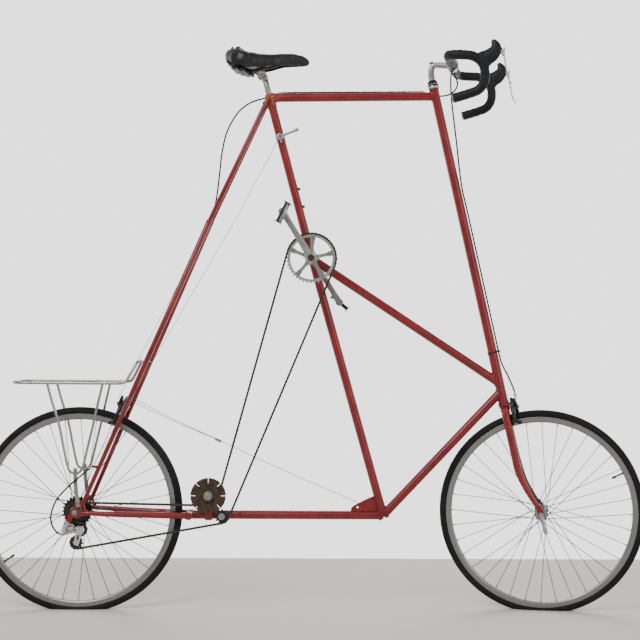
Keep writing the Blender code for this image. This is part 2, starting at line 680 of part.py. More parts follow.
def build_derailleur():
    bolt = turned([(0.0075, -0.0678), (0.0085, -0.0700), (0.0085, -0.0800), (0.0060, -0.0830)],
                  HANGER_BOLT, 16)
    stem = sweep([place(HANGER_BOLT, -0.0765), place(LINK_PIVOT, LINK_PIVOT_Y - 0.0145)],
                 [0.0075, 0.0060], 10)
    node("derailleur_body", "chrome", bolt, weld=[stem])
    link_axis = pivot("derailleur_link_axis", place(LINK_PIVOT, LINK_PIVOT_Y))
    start = place(LINK_PIVOT, LINK_PIVOT_Y)
    end = place(KNUCKLE_PIVOT, KNUCKLE_PIVOT_Y)
    way = (end - start).normalized()
    node("derailleur_link", "chrome",
         sweep([start + way * 0.001, end - way * 0.0075], 0.0062, 8, flat=0.7), link_axis)
    knuckle_axis = pivot("derailleur_shift_axis", place(GUIDE_PULLEY))
    hub = turned([(0.0105, -0.0540), (0.0115, -0.0560), (0.0115, -0.0660), (0.0090, -0.0680)],
                 GUIDE_PULLEY, 20)
    ear = rod(place(GUIDE_PULLEY, -0.0630), end, 0.0055, 10)
    node("derailleur_knuckle", "chrome", hub, knuckle_axis, weld=[ear])
    cage_axis = pivot("derailleur_cage_axis", place(GUIDE_PULLEY), knuckle_axis)
    outline = arm_outline(GUIDE_PULLEY, TENSION_PULLEY, 0.0100, 0.0090, 5)
    bolts = [rod(place(p, CHAIN_Y - 0.0060), place(p, CHAIN_Y + 0.0060), 0.0028, 10)
             for p in (GUIDE_PULLEY, TENSION_PULLEY)]
    node("derailleur_cage", "steel", plate(outline, CHAIN_Y - 0.0065, CHAIN_Y - 0.0052), cage_axis,
         weld=[plate(outline, CHAIN_Y + 0.0050, CHAIN_Y + 0.0063), merged(*bolts)])
    for name, centre in (("guide_pulley", GUIDE_PULLEY), ("tension_pulley", TENSION_PULLEY)):
        axis = pivot(f"{name}_axis", place(centre), cage_axis)
        node(name, "black_metal",
             gear(centre, CHAIN_Y - 0.0011, CHAIN_Y + 0.0011, 10, 0.0033), axis)


# ---------------------------------------------------------------- fork, bars and brakes
def build_fork(steering):
    crown = HEAD_LENGTH + 0.0225
    axle_down = (place(FRONT_AXLE) - place(HEAD_TOP)).dot(DOWN_HEAD)
    top = rod(on_steering(-0.0240), on_steering(crown), STEERER)
    crown_bar = rod(on_steering(crown, y=-0.0380), on_steering(crown, y=0.0380), 0.0100, 12)
    race = lengthwise([(0.0185, HEAD_LENGTH + 0.0115), (0.0150, crown)], on_steering(0), DOWN_HEAD, 12)
    blades = []
    tips = []
    straight = 1.2300
    for sign in (-1, 1):
        path = [on_steering(crown, y=sign * 0.0300)]
        radii = [0.0125]
        for k in range(6):
            share = k / 5
            down = straight + (axle_down - 0.012 - straight) * share
            spread = 0.0300 + 0.0190 * (down - crown) / (axle_down - crown)
            path.append(on_steering(down, RAKE * share ** 1.8, sign * spread))
            radii.append(0.0105 - 0.0035 * share)
        blades.append(sweep(path, radii, 10))
        inner = sign * FRONT_DROPOUT_Y
        tip = arm_outline((WHEELBASE - 0.0085, 0.3620), FRONT_AXLE, 0.0080, 0.0110, 5)
        tips.append(plate(tip, inner, inner + sign * 0.0040))
    quill_bore = rod(on_steering(-0.03), on_steering(0.13), 0.0108)
    hole = turned([(0.0050, -0.06), (0.0050, 0.06)], FRONT_AXLE, 12)
    node("fork", "red_paint", top, steering,
         weld=[race, crown_bar, *blades, *tips], cut=[quill_bore, hole])


def bar_path(sign):
    """Centre line of one half of the drop bar, from the clamp to its lower end."""
    shape = [(0.0, 0.170, 0.0), (0.006, 0.194, -0.0005), (0.024, 0.207, -0.002),
             (0.048, 0.210, -0.003), (0.075, 0.210, -0.006), (0.099, 0.210, -0.018),
             (0.114, 0.210, -0.038), (0.119, 0.210, -0.064), (0.115, 0.210, -0.092),
             (0.098, 0.210, -0.114), (0.064, 0.210, -0.127), (0.020, 0.210, -0.1395)]
    return [place((BAR_CLAMP[0] + x, BAR_CLAMP[1] + z), sign * y) for x, y, z in shape]


def build_cockpit(steering):
    path = smooth_route(bar_path(-1)[::-1] + bar_path(1), 0.030)
    path = [p for p in path if abs(p.y) > 0.165 or abs(abs(p.y) - 0.165) < 0.002]
    node("handlebar", "bar_tape", sweep(path, BAR_RADIUS, 10), steering)
    clamp = place(BAR_CLAMP)
    elbow = on_steering(-0.0800)
    quill = sweep([on_steering(0.1150), elbow], 0.0104, 16)
    neck = sweep([elbow + DOWN_HEAD * 0.006, clamp - Vector((0.008, 0, 0))], 0.0120, 14)
    clamp_ring = turned([(0.0185, -0.0200), (0.0185, 0.0200)], BAR_CLAMP, 20)
    hole = turned([(BAR_RADIUS + GAP, -0.03), (BAR_RADIUS + GAP, 0.03)], BAR_CLAMP, 16)
    node("stem", "alloy", quill, steering, weld=[neck, clamp_ring], cut=[hole])
    for name, sign in (("right", -1), ("left", 1)):
        build_brake_lever(name, sign, steering)


HOOD = [(0.100, 0.004), (0.1180, 0.010), (0.1300, 0.0170), (0.1330, 0.0470), (0.1520, 0.0400),
        (0.1740, 0.0186), (0.1660, -0.0050), (0.1550, -0.0158), (0.1400, -0.0340), (0.1310, -0.0420),
        (0.1120, -0.0380), (0.0980, -0.0180)]
LEVER_PIVOT = (0.1700, 0.0050)
LEVER = [(0.1785, 0.0120), (0.1800, -0.0200), (0.1860, -0.0500), (0.1910, -0.0750), (0.2025, -0.0960)]


def build_brake_lever(name, sign, steering):
    y = sign * BAR_HALF_WIDTH
    outline = [(BAR_CLAMP[0] + x, BAR_CLAMP[1] + z) for x, z in HOOD]
    bar = sweep(bar_path(sign)[3:10], BAR_RADIUS + 2 * GAP, 12)
    node(f"brake_hood_{name}", "black_rubber", plate(outline, y - 0.0140, y + 0.0140), steering,
         cut=[bar])
    axis = pivot(f"brake_lever_{name}_axis",
                 place((BAR_CLAMP[0] + LEVER_PIVOT[0], BAR_CLAMP[1] + LEVER_PIVOT[1]), y), steering)
    path = [place((BAR_CLAMP[0] + x, BAR_CLAMP[1] + z), y) for x, z in LEVER]
    node(f"brake_lever_{name}", "alloy",
         sweep(path, [0.0050, 0.0065, 0.0062, 0.0060, 0.0050], 10, flat=0.5), axis)


def build_brake(name, bolt, outward, downward, reach, parent):
    """A side-pull caliper: two arms on one bolt, each with its shoe."""
    for which, sign, lift in (("right", -1, 0.0), ("left", 1, 0.0105)):
        centre = bolt + outward * lift
        axis = pivot(f"{name}_brake_arm_{which}_axis", centre, parent)

        def at(y, down, out=0.0):
            return centre + Y_AXIS * y + downward * down + outward * out

        arm = sweep([at(-sign * 0.018, -0.030), at(-sign * 0.006, -0.012), at(sign * 0.012, -0.001),
                     at(sign * 0.027, 0.014), at(sign * 0.031, 0.032), at(sign * 0.027, reach - 0.004),
                     at(sign * 0.020, reach)],
                    [0.0042, 0.0050, 0.0056, 0.0054, 0.0050, 0.0046, 0.0040], 8, flat=0.85)
        shoe = sweep([at(sign * 0.0165, reach - 0.010, -0.016 - lift), at(sign * 0.0165, reach, 0.0),
                      at(sign * 0.0165, reach + 0.006, 0.016)], 0.0042, 8)
        node(f"{name}_brake_arm_{which}", "black_metal", arm, axis, weld=[shoe])


def build_brakes(steering):
    front_bolt = on_steering(HEAD_LENGTH + 0.0200, 0.0260)
    build_brake("front", front_bolt, FORWARD, DOWN_HEAD, 0.0490, steering)
    down_stay = side(0.0220 - STAY_WELD[0], 0.3640 - STAY_WELD[1])
    rearward = side(down_stay.z, -down_stay.x)
    build_brake("rear", place(BRIDGE) + rearward * 0.0125, rearward, down_stay, 0.0640, None)


# ---------------------------------------------------------------- seat, rack, shifter
def build_seat():
    axis_way = (place(SEAT_TUBE_TOP) - place(BOTTOM_BRACKET)).normalized()
    seat = pivot("seatpost_axis", place(SEAT_TUBE_TOP))
    post_top = place(SEAT_TUBE_TOP) + axis_way * 0.0650
    post = rod(place(SEAT_TUBE_TOP) - axis_way * 0.1170, post_top, SEATPOST)
    head = block(place((0.5840, 1.7700)), (0.0460, 0.0540, 0.0150), side(0.96, 0.2))
    node("seatpost", "steel", post, seat, weld=[head])
    rail = [(0.5020, 1.8040), (0.5250, 1.7900), (0.5480, 1.7835), (0.5780, 1.7880), (0.6080, 1.7920),
            (0.6450, 1.8030), (0.6800, 1.8080)]
    half = [place(p, -0.022) for p in rail]
    other = [place(p, 0.022) for p in rail[::-1]]
    nose = [place((0.7000, 1.8095), -0.014), place((0.7060, 1.8095), 0.0),
            place((0.7000, 1.8095), 0.014)]
    rails = half + nose + other
    node("saddle_rails", "black_metal", sweep(rails, 0.0035, 6), seat)
    node("saddle", "saddle_cover", saddle_shape(), seat)


SADDLE_STATIONS = (
    # ahead of the rear axle, half width, top, edge, underside
    (0.4680, 0.0350, 1.8380, 1.8200, 1.8120),
    (0.4850, 0.0600, 1.8530, 1.8230, 1.8140),
    (0.5150, 0.0700, 1.8480, 1.8200, 1.8150),
    (0.5500, 0.0660, 1.8400, 1.8160, 1.8120),
    (0.5950, 0.0480, 1.8350, 1.8140, 1.8110),
    (0.6400, 0.0300, 1.8370, 1.8160, 1.8130),
    (0.6900, 0.0220, 1.8385, 1.8190, 1.8140),
    (0.7230, 0.0180, 1.8330, 1.8200, 1.8140),
    (0.7360, 0.0100, 1.8240, 1.8190, 1.8140),
)


def saddle_shape():
    shape = bmesh.new()
    rings = []
    for x, half, top, edge, under in SADDLE_STATIONS:
        section = ((0.0, top), (0.45, top - 0.10 * (top - edge)), (0.80, top - 0.45 * (top - edge)),
                   (1.0, edge), (0.85, under), (0.0, under))
        right = [(-y * half, z) for y, z in section]
        left = [(y * half, z) for y, z in section[-2:0:-1]]
        rings.append([shape.verts.new(place((x, z), y)) for y, z in right + left])
    skin(shape, rings)
    return shape


RACK_HEIGHT = 0.7530
RACK_HALF_WIDTH = 0.0600
RACK_TUBE = 0.0050


def build_rack():
    y = RACK_HALF_WIDTH
    hoop = [(0.1900, 0.8210, 0.030), (0.1800, 0.8090, 0.044), (0.1620, 0.7780, 0.052),
            (0.1380, 0.7560, 0.057), (0.1000, RACK_HEIGHT, y), (-0.0400, RACK_HEIGHT, y),
            (-0.1500, RACK_HEIGHT, y), (-0.1950, RACK_HEIGHT, 0.050), (-0.2150, RACK_HEIGHT, 0.025)]
    right = [place((x, z), -w) for x, z, w in hoop]
    left = [place((x, z), w) for x, z, w in hoop[::-1]]
    path = right + left
    closing = rod(place((0.1885, 0.8195), -0.0330), place((0.1885, 0.8195), 0.0330), RACK_TUBE, 8)
    bars = [rod(place((x, RACK_HEIGHT), -y), place((x, RACK_HEIGHT), y), 0.0040, 8)
            for x in (-0.1500, -0.0400, 0.0700)]
    top_plate = plate([(-0.1540, RACK_HEIGHT + 0.0035), (0.0740, RACK_HEIGHT + 0.0035),
                       (0.0740, RACK_HEIGHT + 0.0055), (-0.1540, RACK_HEIGHT + 0.0055)],
                      -0.0120, 0.0120)
    legs = [shape for sign in (-1, 1) for shape in rack_leg(sign)]
    node("rear_rack", "steel", sweep(path, RACK_TUBE, 8),
         weld=[closing, merged(*bars), top_plate, *legs])


def rack_leg(sign):
    """A V of tube hung under the deck, and the flat strap to the dropout's eyelet."""
    y = sign * RACK_HALF_WIDTH
    vee = [(-0.0830, RACK_HEIGHT), (-0.0560, 0.6200), (-0.0270, 0.4900), (-0.0180, 0.4680),
           (0.0000, 0.4610), (0.0160, 0.4680), (0.0250, 0.4880), (0.0480, 0.6150),
           (0.0720, RACK_HEIGHT)]
    leg = sweep([place(p, y) for p in vee], 0.0043, 8)
    strap = sweep([place((0.0, 0.4640), y), place((0.0020, 0.4300), sign * 0.0670),
                   place((0.0060, 0.3900), sign * 0.0705), place((0.0100, 0.3530), sign * 0.0705)],
                  0.0021, 8, flat=3.0)
    return [leg, strap]


SHIFTER_HEIGHT = 1.5630


def build_shifter():
    way = (place(SEAT_TUBE_TOP) - place(BOTTOM_BRACKET)).normalized()
    share = (SEAT_TUBE_TOP[1] - SHIFTER_HEIGHT) / (SEAT_TUBE_TOP[1] - BOTTOM_BRACKET[1])
    middle = place(between(SEAT_TUBE_TOP, BOTTOM_BRACKET, share))
    band = lengthwise([(TUBE + GAP, -0.006), (TUBE + 0.0022, -0.006), (TUBE + 0.0022, 0.006),
                       (TUBE + GAP, 0.006)], middle, way, 20, hollow=True)
    boss = rod(middle - Y_AXIS * (TUBE + 0.0008), middle - Y_AXIS * 0.0250, 0.0080, 16)
    node("shifter_clamp", "alloy", band, weld=[boss])
    axis = pivot("shift_lever_axis", middle - Y_AXIS * 0.0290)
    hub = rod(middle - Y_AXIS * 0.0255, middle - Y_AXIS * 0.0330, 0.0105, 16)
    tip = side(0.92, 0.39)
    blade = sweep([middle - Y_AXIS * 0.0300, middle - Y_AXIS * 0.0300 + tip * 0.030,
                   middle - Y_AXIS * 0.0330 + tip * 0.064], [0.0038, 0.0040, 0.0060], 8, flat=0.6)
    node("shift_lever", "alloy", hub, axis, weld=[blade])


# ---------------------------------------------------------------- cables
REAR_BRAKE_ROUTE = [
    (1.1150, 1.7225, 0.0080), (1.0950, 1.7215, 0.0040), (0.9000, 1.7183, 0.0040), (0.6600, 1.7145, 0.0060),
    (0.6350, 1.7120, 0.0150), (0.6080, 1.7040, 0.0255), (0.5850, 1.6975, 0.0240), (0.5600, 1.6890, 0.0170),
    (0.5337, 1.6752, 0.0120), (0.5010, 1.6454, 0.0100), (0.4690, 1.5870, 0.0080), (0.4530, 1.5205, 0.0060),
    (0.4460, 1.4550, 0.0040), (0.4395, 1.3892, 0.0020), (0.4330, 1.3450, 0.0000), (0.4230, 1.3068, 0.0000),
    (0.4085, 1.2640, 0.0000), (0.2700, 0.9925, 0.0000), (0.1310, 0.7200, 0.0020),
]
LOOP_ROUTE = [
    (1.2270, 1.7840, 0.0620), (1.2335, 1.7640, 0.0560), (1.2290, 1.7430, 0.0480), (1.2150, 1.7260, 0.0390),
    (1.1930, 1.7150, 0.0300), (1.1650, 1.7125, 0.0245), (1.1400, 1.7175, 0.0180), (1.1162, 1.7225, 0.0083),
]
FRONT_BRAKE_ROUTE = [
    (1.2110, 1.7740, -0.0270), (1.2100, 1.7450, -0.0250), (1.2130, 1.6860, -0.0200),
    (1.2274, 1.5647, -0.0120), (1.2449, 1.4163, -0.0040), (1.2665, 1.3200, 0.0), (1.3096, 1.1312, 0.0),
    (1.3430, 0.9850, 0.0), (1.3725, 0.8560, 0.0), (1.3830, 0.8200, 0.0010), (1.4010, 0.7850, 0.0020),
    (1.4190, 0.7450, 0.0020), (1.4260, 0.7230, 0.0020),
]
SHIFT_ROUTE = [
    (0.6350, 1.5450, -0.0230), (0.5100, 1.3010, -0.0345), (0.3000, 0.9270, -0.0525), (0.0520, 0.4840, -0.0712),
    (0.0200, 0.4560, -0.0755), (-0.0200, 0.4210, -0.0790), (-0.0560, 0.3780, -0.0810),
    (-0.0725, 0.3300, -0.0810), (-0.0680, 0.2950, -0.0770), (-0.0520, 0.2720, -0.0730),
    (-0.0430, 0.2690, -0.0710),
]
HOUSING = 0.0025
BARE_WIRE = 0.0009


def cable(name, route, bare_from, bare_to, parent=None, spacing=0.045):
    """A held cable: housing, with bare wire between two of the route's own points."""
    points = [place((x, z), y) for x, z, y in route]
    path = []
    radii = []
    for i in range(len(points) - 1):
        bare = bare_from <= i < bare_to
        stretch = smooth_route(points[max(i - 1, 0):i + 3], spacing)
        start = min(range(len(stretch)), key=lambda k: (stretch[k] - points[i]).length)
        end = min(range(len(stretch)), key=lambda k: (stretch[k] - points[i + 1]).length)
        inner = [points[i], points[i + 1]] if bare else stretch[start:end + 1]
        for point in inner[:-1] if i < len(points) - 2 else inner:
            path.append(point)
            radii.append(BARE_WIRE if bare else HOUSING)
    node(name, "cable_black", sweep(path, radii, 6), parent)


def build_cables(steering):
    cable("rear_brake_cable", REAR_BRAKE_ROUTE, 16, 99)
    cable("rear_brake_loop", LOOP_ROUTE, 99, 99)
    cable("front_brake_cable", FRONT_BRAKE_ROUTE, 99, 99, steering)
    cable("shift_cable", SHIFT_ROUTE, 0, 3)
    clamp = place((0.4495, 0.5666))
    wires = []
    for sign in (-1, 1):
        stay_y = seatstay_at(0.700) - STAY_LOW - 0.0018
        wires.append(rod(place((0.1600, 0.7000), sign * stay_y), clamp, 0.0011, 6))
    wires.append(rod(clamp, place((0.9140, 0.3600), 0.0053), 0.0011, 6))
    node("bracing_wire", "steel", block(clamp, (0.0200, 0.0120, 0.0080), side(0.92, -0.4)),
         weld=wires)


# ---------------------------------------------------------------- assembly
def main():
    clear_scene()
    build_main_tubes()
    for sign, name in ((-1, "right"), (1, "left")):
        build_stays(sign, name)
    build_headset()
    steering = pivot("steering_axis", place(HEAD_TOP))
    front_wheel = pivot("front_wheel_axis", place(FRONT_AXLE), steering)
    rear_wheel = pivot("rear_wheel_axis", place(REAR_AXLE))
    build_wheel("front", FRONT_AXLE, (-0.0340, 0.0340), front_wheel)
    build_wheel("rear", REAR_AXLE, (-0.0185, 0.0340), rear_wheel)
    build_axles(steering)
    build_quick_release("front_qr_lever", FRONT_AXLE, -0.0650, (0.29, -0.957), steering)
    build_crankset()
    build_freewheel()
    build_idler_and_tensioner()
    build_derailleur()
    build_chain()
    build_fork(steering)
    build_cockpit(steering)
    build_brakes(steering)
    build_seat()
    build_rack()
    build_shifter()
    build_cables(steering)
    steering.rotation_mode = "QUATERNION"
    steering.rotation_quaternion = Quaternion(-DOWN_HEAD, STEER_AT_REST)


main()
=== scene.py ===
"""Looks of the tall bicycle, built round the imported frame.

Metres, +Z up, forward is +X, the chain is on the -Y side.  Places come from the frame's joints;
the other points are written as (ahead of the rear axle, height), like the frame's own drawing.
Pieces on the fork and bars are drawn with the bars straight and then turned as the frame rests."""
import json
import math

import bmesh
import bpy
from mathutils import Matrix, Vector, noise


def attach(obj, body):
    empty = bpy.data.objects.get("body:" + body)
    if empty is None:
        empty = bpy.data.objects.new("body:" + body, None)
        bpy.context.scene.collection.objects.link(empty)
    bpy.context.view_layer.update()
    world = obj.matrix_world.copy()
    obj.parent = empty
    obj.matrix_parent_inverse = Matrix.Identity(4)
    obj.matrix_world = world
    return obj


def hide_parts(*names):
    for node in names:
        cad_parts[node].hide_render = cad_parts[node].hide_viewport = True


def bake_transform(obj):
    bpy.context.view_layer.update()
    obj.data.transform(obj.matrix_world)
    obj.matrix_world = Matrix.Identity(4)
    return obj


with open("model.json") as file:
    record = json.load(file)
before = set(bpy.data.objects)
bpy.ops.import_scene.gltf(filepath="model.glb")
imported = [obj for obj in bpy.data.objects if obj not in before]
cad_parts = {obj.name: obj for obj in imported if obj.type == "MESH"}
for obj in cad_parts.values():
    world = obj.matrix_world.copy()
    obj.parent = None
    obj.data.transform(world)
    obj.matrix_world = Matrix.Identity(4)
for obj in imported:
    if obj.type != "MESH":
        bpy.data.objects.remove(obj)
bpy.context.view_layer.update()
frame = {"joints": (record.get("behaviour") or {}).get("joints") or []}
JOINTS = {joint["name"]: joint for joint in frame["joints"]}
Y_AXIS = Vector((0.0, 1.0, 0.0))


def joint_at(name):
    return Vector(JOINTS[name]["pos_m"])


# ---------------------------------------------------------------- places
REAR = joint_at("rear_wheel_spin")
CRANK = joint_at("crank_spin")
HEAD_TOP = joint_at("steering")
UP = Vector(JOINTS["steering"]["axis"]).normalized()
DOWN = -UP
FORWARD = DOWN.cross(Y_AXIS)
TURN = math.asin(Y_AXIS.cross(Vector(JOINTS["front_wheel_spin"]["axis"])).dot(UP))
STEERED = Matrix.Translation(HEAD_TOP) @ Matrix.Rotation(TURN, 4, UP) @ Matrix.Translation(-HEAD_TOP)
FRONT = STEERED.inverted() @ joint_at("front_wheel_spin")
WHEEL_RADIUS = REAR.z
GROUND = 0.0140                # soft tyres let the wheels down by this much
CHAIN_Y = joint_at("idler_spin").y
PITCH = 0.0127
TUBE = 0.0143
HEAD_TUBE = 0.0162
HEAD_UPPER = 0.0153            # the head tube's added upper length is a little thinner
HEAD_LENGTH = 1.0664
SEAM_DOWN = 0.8920             # where the two lengths of head tube are joined
BAR_RADIUS = 0.0150
BAR_HALF = 0.2100
REAR_DROPOUT_Y = 0.0635        # inner faces of the rear dropouts
FRONT_DROPOUT_Y = 0.0500
CHAINRING_TEETH = 40
IDLER_TEETH = 16
TENSIONER_TEETH = 11
JOCKEY_TEETH = 10
COG_TEETH = (15, 17, 19, 21, 24)


def at(x, z, y=0.0):
    """A point by its distance ahead of the rear axle, its height and its y."""
    return Vector((REAR.x + x, y, z))


def side(x, z):
    return Vector((x, 0.0, z)).normalized()


def polar(centre, radius, turn, y=0.0):
    return Vector((centre.x + radius * math.cos(turn), y, centre.z + radius * math.sin(turn)))


def in_plane(point):
    """The point moved sideways into the frame's middle plane."""
    return Vector((point.x, 0.0, point.z))


def pointing(turn):
    """The direction in the side plane at an angle."""
    return Vector((math.cos(turn), 0.0, math.sin(turn)))


def quarter_turn(way):
    """A direction in the side plane, turned a quarter to the left."""
    return Vector((-way.z, 0.0, way.x))


def on_head(down, forward=0.0, y=0.0):
    return HEAD_TOP + DOWN * down + FORWARD * forward + Y_AXIS * y


SEAT_TOP = at(0.6062, 1.7066)
SEAT_CLUSTER = at(0.6090, 1.6960)
LOWER_JOINT = at(0.9940, 0.3220)
YOKE = at(0.3610, 0.3220)
STAY_WELD = (0.4118, 1.2738)
STAY_FOOT = (0.0220, 0.3640)
CLAMP = (1.2140, 1.8080)
BRIDGE = (0.1480, 0.6720)
SEAT_WAY = (SEAT_TOP - CRANK).normalized()
BOTTLE_BOSSES = (at(0.6915, 1.390), at(0.7070, 1.332))
BOSS_WAY = side(0.966, 0.259)


# ---------------------------------------------------------------- shape helpers
def merged(*shapes):
    whole = bmesh.new()
    for shape in shapes:
        mesh = bpy.data.meshes.new("piece")
        bmesh.ops.recalc_face_normals(shape, faces=shape.faces)
        shape.to_mesh(mesh)
        shape.free()
        whole.from_mesh(mesh)
        bpy.data.meshes.remove(mesh)
    return whole


def skin(shape, rings, closed=False):
    count = len(rings[0])
    pairs = list(zip(rings, rings[1:]))
    if closed:
        pairs.append((rings[-1], rings[0]))
    for low, high in pairs:
        for i in range(count):
            j = (i + 1) % count
            shape.faces.new((low[i], low[j], high[j], high[i]))
    if not closed:
        shape.faces.new(rings[0])
        shape.faces.new(rings[-1])


def smooth_route(points, spacing):
    """A smooth curve through the points (Catmull-Rom), about spacing apart."""
    points = [Vector(p) for p in points]
    padded = [2 * points[0] - points[1], *points, 2 * points[-1] - points[-2]]
    route = []
    for a, b, c, d in zip(padded, padded[1:], padded[2:], padded[3:]):
        steps = max(1, round((c - b).length / spacing))
        for k in range(steps):
            t = k / steps
            bend = (2 * a - 5 * b + 4 * c - d) * t * t
            twist = (3 * b - a - 3 * c + d) * t ** 3
            route.append((2 * b + (c - a) * t + bend + twist) / 2)
    return [*route, points[-1]]


def spread(values, count):
    """Numbers read evenly along a short list, so that a radius can change along a long path."""
    made = []
    for i in range(count):
        where = i / max(1, count - 1) * (len(values) - 1)
        low = min(int(where), len(values) - 2)
        made.append(values[low] + (values[low + 1] - values[low]) * (where - low))
    return made


def eased(value, power):
    """Sine or cosine made squarer (a power below 1), which squares a round section."""
    return math.copysign(abs(value) ** power, value)


def sweep(points, radii, sides=20, flat=1.0, closed=False, start=None, dome=True, ripple=None,
          square=1.0):
    """A bar through points.  radii is one number or several, spread along it; flat squeezes the
    section and square makes it boxy; ripple(distance, turn) adds to the radius; dome rounds the
    ends."""
    points = [Vector(p) for p in points]
    if not isinstance(radii, (list, tuple)):
        radii = [radii, radii]
    radii = spread(radii, len(points))
    count = len(points)
    centres, sizes, ways = [], [], []
    for i, point in enumerate(points):
        if closed:
            ahead = points[(i + 1) % count] - points[i - 1]
        else:
            ahead = points[min(i + 1, count - 1)] - points[max(i - 1, 0)]
        centres.append(point)
        sizes.append(radii[i])
        ways.append(ahead.normalized())
    if dome and not closed:
        depth = 0.35
        for step in (0.5, 0.85, 1.0):
            shrink = math.sqrt(1 - step * step * 0.9)
            centres = [points[0] - ways[0] * radii[0] * depth * step, *centres,
                       points[-1] + ways[-1] * radii[-1] * depth * step]
            sizes = [radii[0] * shrink, *sizes, radii[-1] * shrink]
            ways = [ways[0], *ways, ways[-1]]
    shape = bmesh.new()
    rings = []
    across = start
    run = 0.0
    for i, (point, size, ahead) in enumerate(zip(centres, sizes, ways)):
        if across is None:
            across = Y_AXIS if abs(ahead.y) < 0.9 else Vector((1.0, 0.0, 0.0))
        across = (across - ahead * across.dot(ahead)).normalized()
        other = ahead.cross(across)
        if i:
            run += (point - centres[i - 1]).length
        ring = []
        for k in range(sides):
            turn = 2 * math.pi * (k + 0.5) / sides
            radius = size + (ripple(run, turn) if ripple else 0.0)
            ring.append(shape.verts.new(point + (across * eased(math.cos(turn), square)
                                                 + other * eased(math.sin(turn), square) * flat) * radius))
        rings.append(ring)
    skin(shape, rings, closed)
    return shape


def rod(a, b, radius, sides=20, **more):
    return sweep([a, b], radius, sides, **more)


def lathe(profile, centre, way=None, sides=48, closed=False):
    """A profile of (radius, distance) points, turned about a line through centre."""
    way = (way or Y_AXIS).normalized()
    across = (Vector((0, 0, 1)) if abs(way.z) < 0.9 else Y_AXIS).cross(way).normalized()
    other = way.cross(across)
    shape = bmesh.new()
    rings = []
    for radius, distance in profile:
        ring = []
        for k in range(sides):
            turn = 2 * math.pi * k / sides
            offset = (across * math.cos(turn) + other * math.sin(turn)) * radius
            ring.append(shape.verts.new(centre + way * distance + offset))
        rings.append(ring)
    skin(shape, rings, closed)
    return shape


def plate(outline, near, far, holes=()):
    """A flat outline of points in the side plane, thick along Y, with holes cut through it."""
    shape = bmesh.new()
    edges = []
    for loop in (outline, *holes):
        ring = [shape.verts.new(Vector((p[0], near, p[-1]))) for p in loop]
        edges += [shape.edges.new((ring[i - 1], ring[i])) for i in range(len(ring))]
    bmesh.ops.triangle_fill(shape, use_beauty=True, use_dissolve=False, edges=edges)
    grown = bmesh.ops.extrude_face_region(shape, geom=shape.faces[:])
    moved = [g for g in grown["geom"] if isinstance(g, bmesh.types.BMVert)]
    bmesh.ops.translate(shape, vec=Y_AXIS * (far - near), verts=moved)
    return shape


def circle(centre, radius, count=24):
    return [polar(centre, radius, 2 * math.pi * k / count) for k in range(count)]


def capsule(start, end, r_start, r_end, steps=8):
    """A long outline with round ends."""
    turn = math.atan2(end.z - start.z, end.x - start.x)
    outline = []
    for centre, radius, base in ((start, r_start, turn + math.pi), (end, r_end, turn)):
        outline += [polar(centre, radius, base - math.pi / 2 + math.pi * k / steps)
                    for k in range(steps + 1)]
    return outline


def hexagon(centre, way, across, height, turn=0.2):
    """A bolt head or nut, with its corners eased."""
    way = way.normalized()
    profile = [(across * 0.46, 0.0), (across * 0.5, height * 0.12), (across * 0.5, height * 0.85),
               (across * 0.42, height)]
    shape = lathe(profile, centre, way, 6)
    bmesh.ops.rotate(shape, cent=centre, matrix=Matrix.Rotation(turn, 3, way), verts=shape.verts)
    return shape


def pitch_radius(teeth):
    return PITCH / (2 * math.sin(math.pi / teeth))


def sprocket(centre, teeth, phase=0.0, sharp=1.0):
    """The outline of a chain wheel: a round seat for each roller between worn, pointed teeth."""
    middle = pitch_radius(teeth)
    outline = []
    per_tooth = ((0.0, -0.0040), (0.13, -0.0036), (0.24, -0.0018), (0.34, 0.0006), (0.43, 0.0024),
                 (0.50, 0.0030), (0.57, 0.0024), (0.66, 0.0006), (0.76, -0.0018), (0.87, -0.0036))
    for k in range(teeth):
        for share, lift in per_tooth:
            turn = phase + 2 * math.pi * (k + share) / teeth
            outline.append(polar(centre, middle + lift * sharp, turn))
    return outline


def piece(name, shape, body, material, slot, replaces=(), steered=False, bevel=0.0, subdivide=0,
          sharp=35.0, blend=None):
    """Adds one shape as a piece that rides on a body and stands for CAD nodes."""
    mesh = bpy.data.meshes.new(name)
    bmesh.ops.recalc_face_normals(shape, faces=shape.faces)
    shape.to_mesh(mesh)
    shape.free()
    if steered:
        mesh.transform(STEERED)
    mesh.shade_smooth()
    mesh.set_sharp_from_angle(angle=math.radians(sharp))
    made = bpy.data.objects.new(name, mesh)
    bpy.context.scene.collection.objects.link(made)
    mesh.materials.append(material)
    if bevel:
        edge = made.modifiers.new("Edge", "BEVEL")
        edge.width = bevel
        edge.segments = 2
        edge.limit_method = "ANGLE"
        edge.angle_limit = math.radians(38)
        edge.harden_normals = True
    if subdivide:
        fine = made.modifiers.new("Fine", "SUBSURF")
        fine.levels = subdivide
        fine.render_levels = subdivide
    if blend:
        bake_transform(made)
    else:
        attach(made, body)
    if replaces:
        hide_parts(*replaces)
    return made


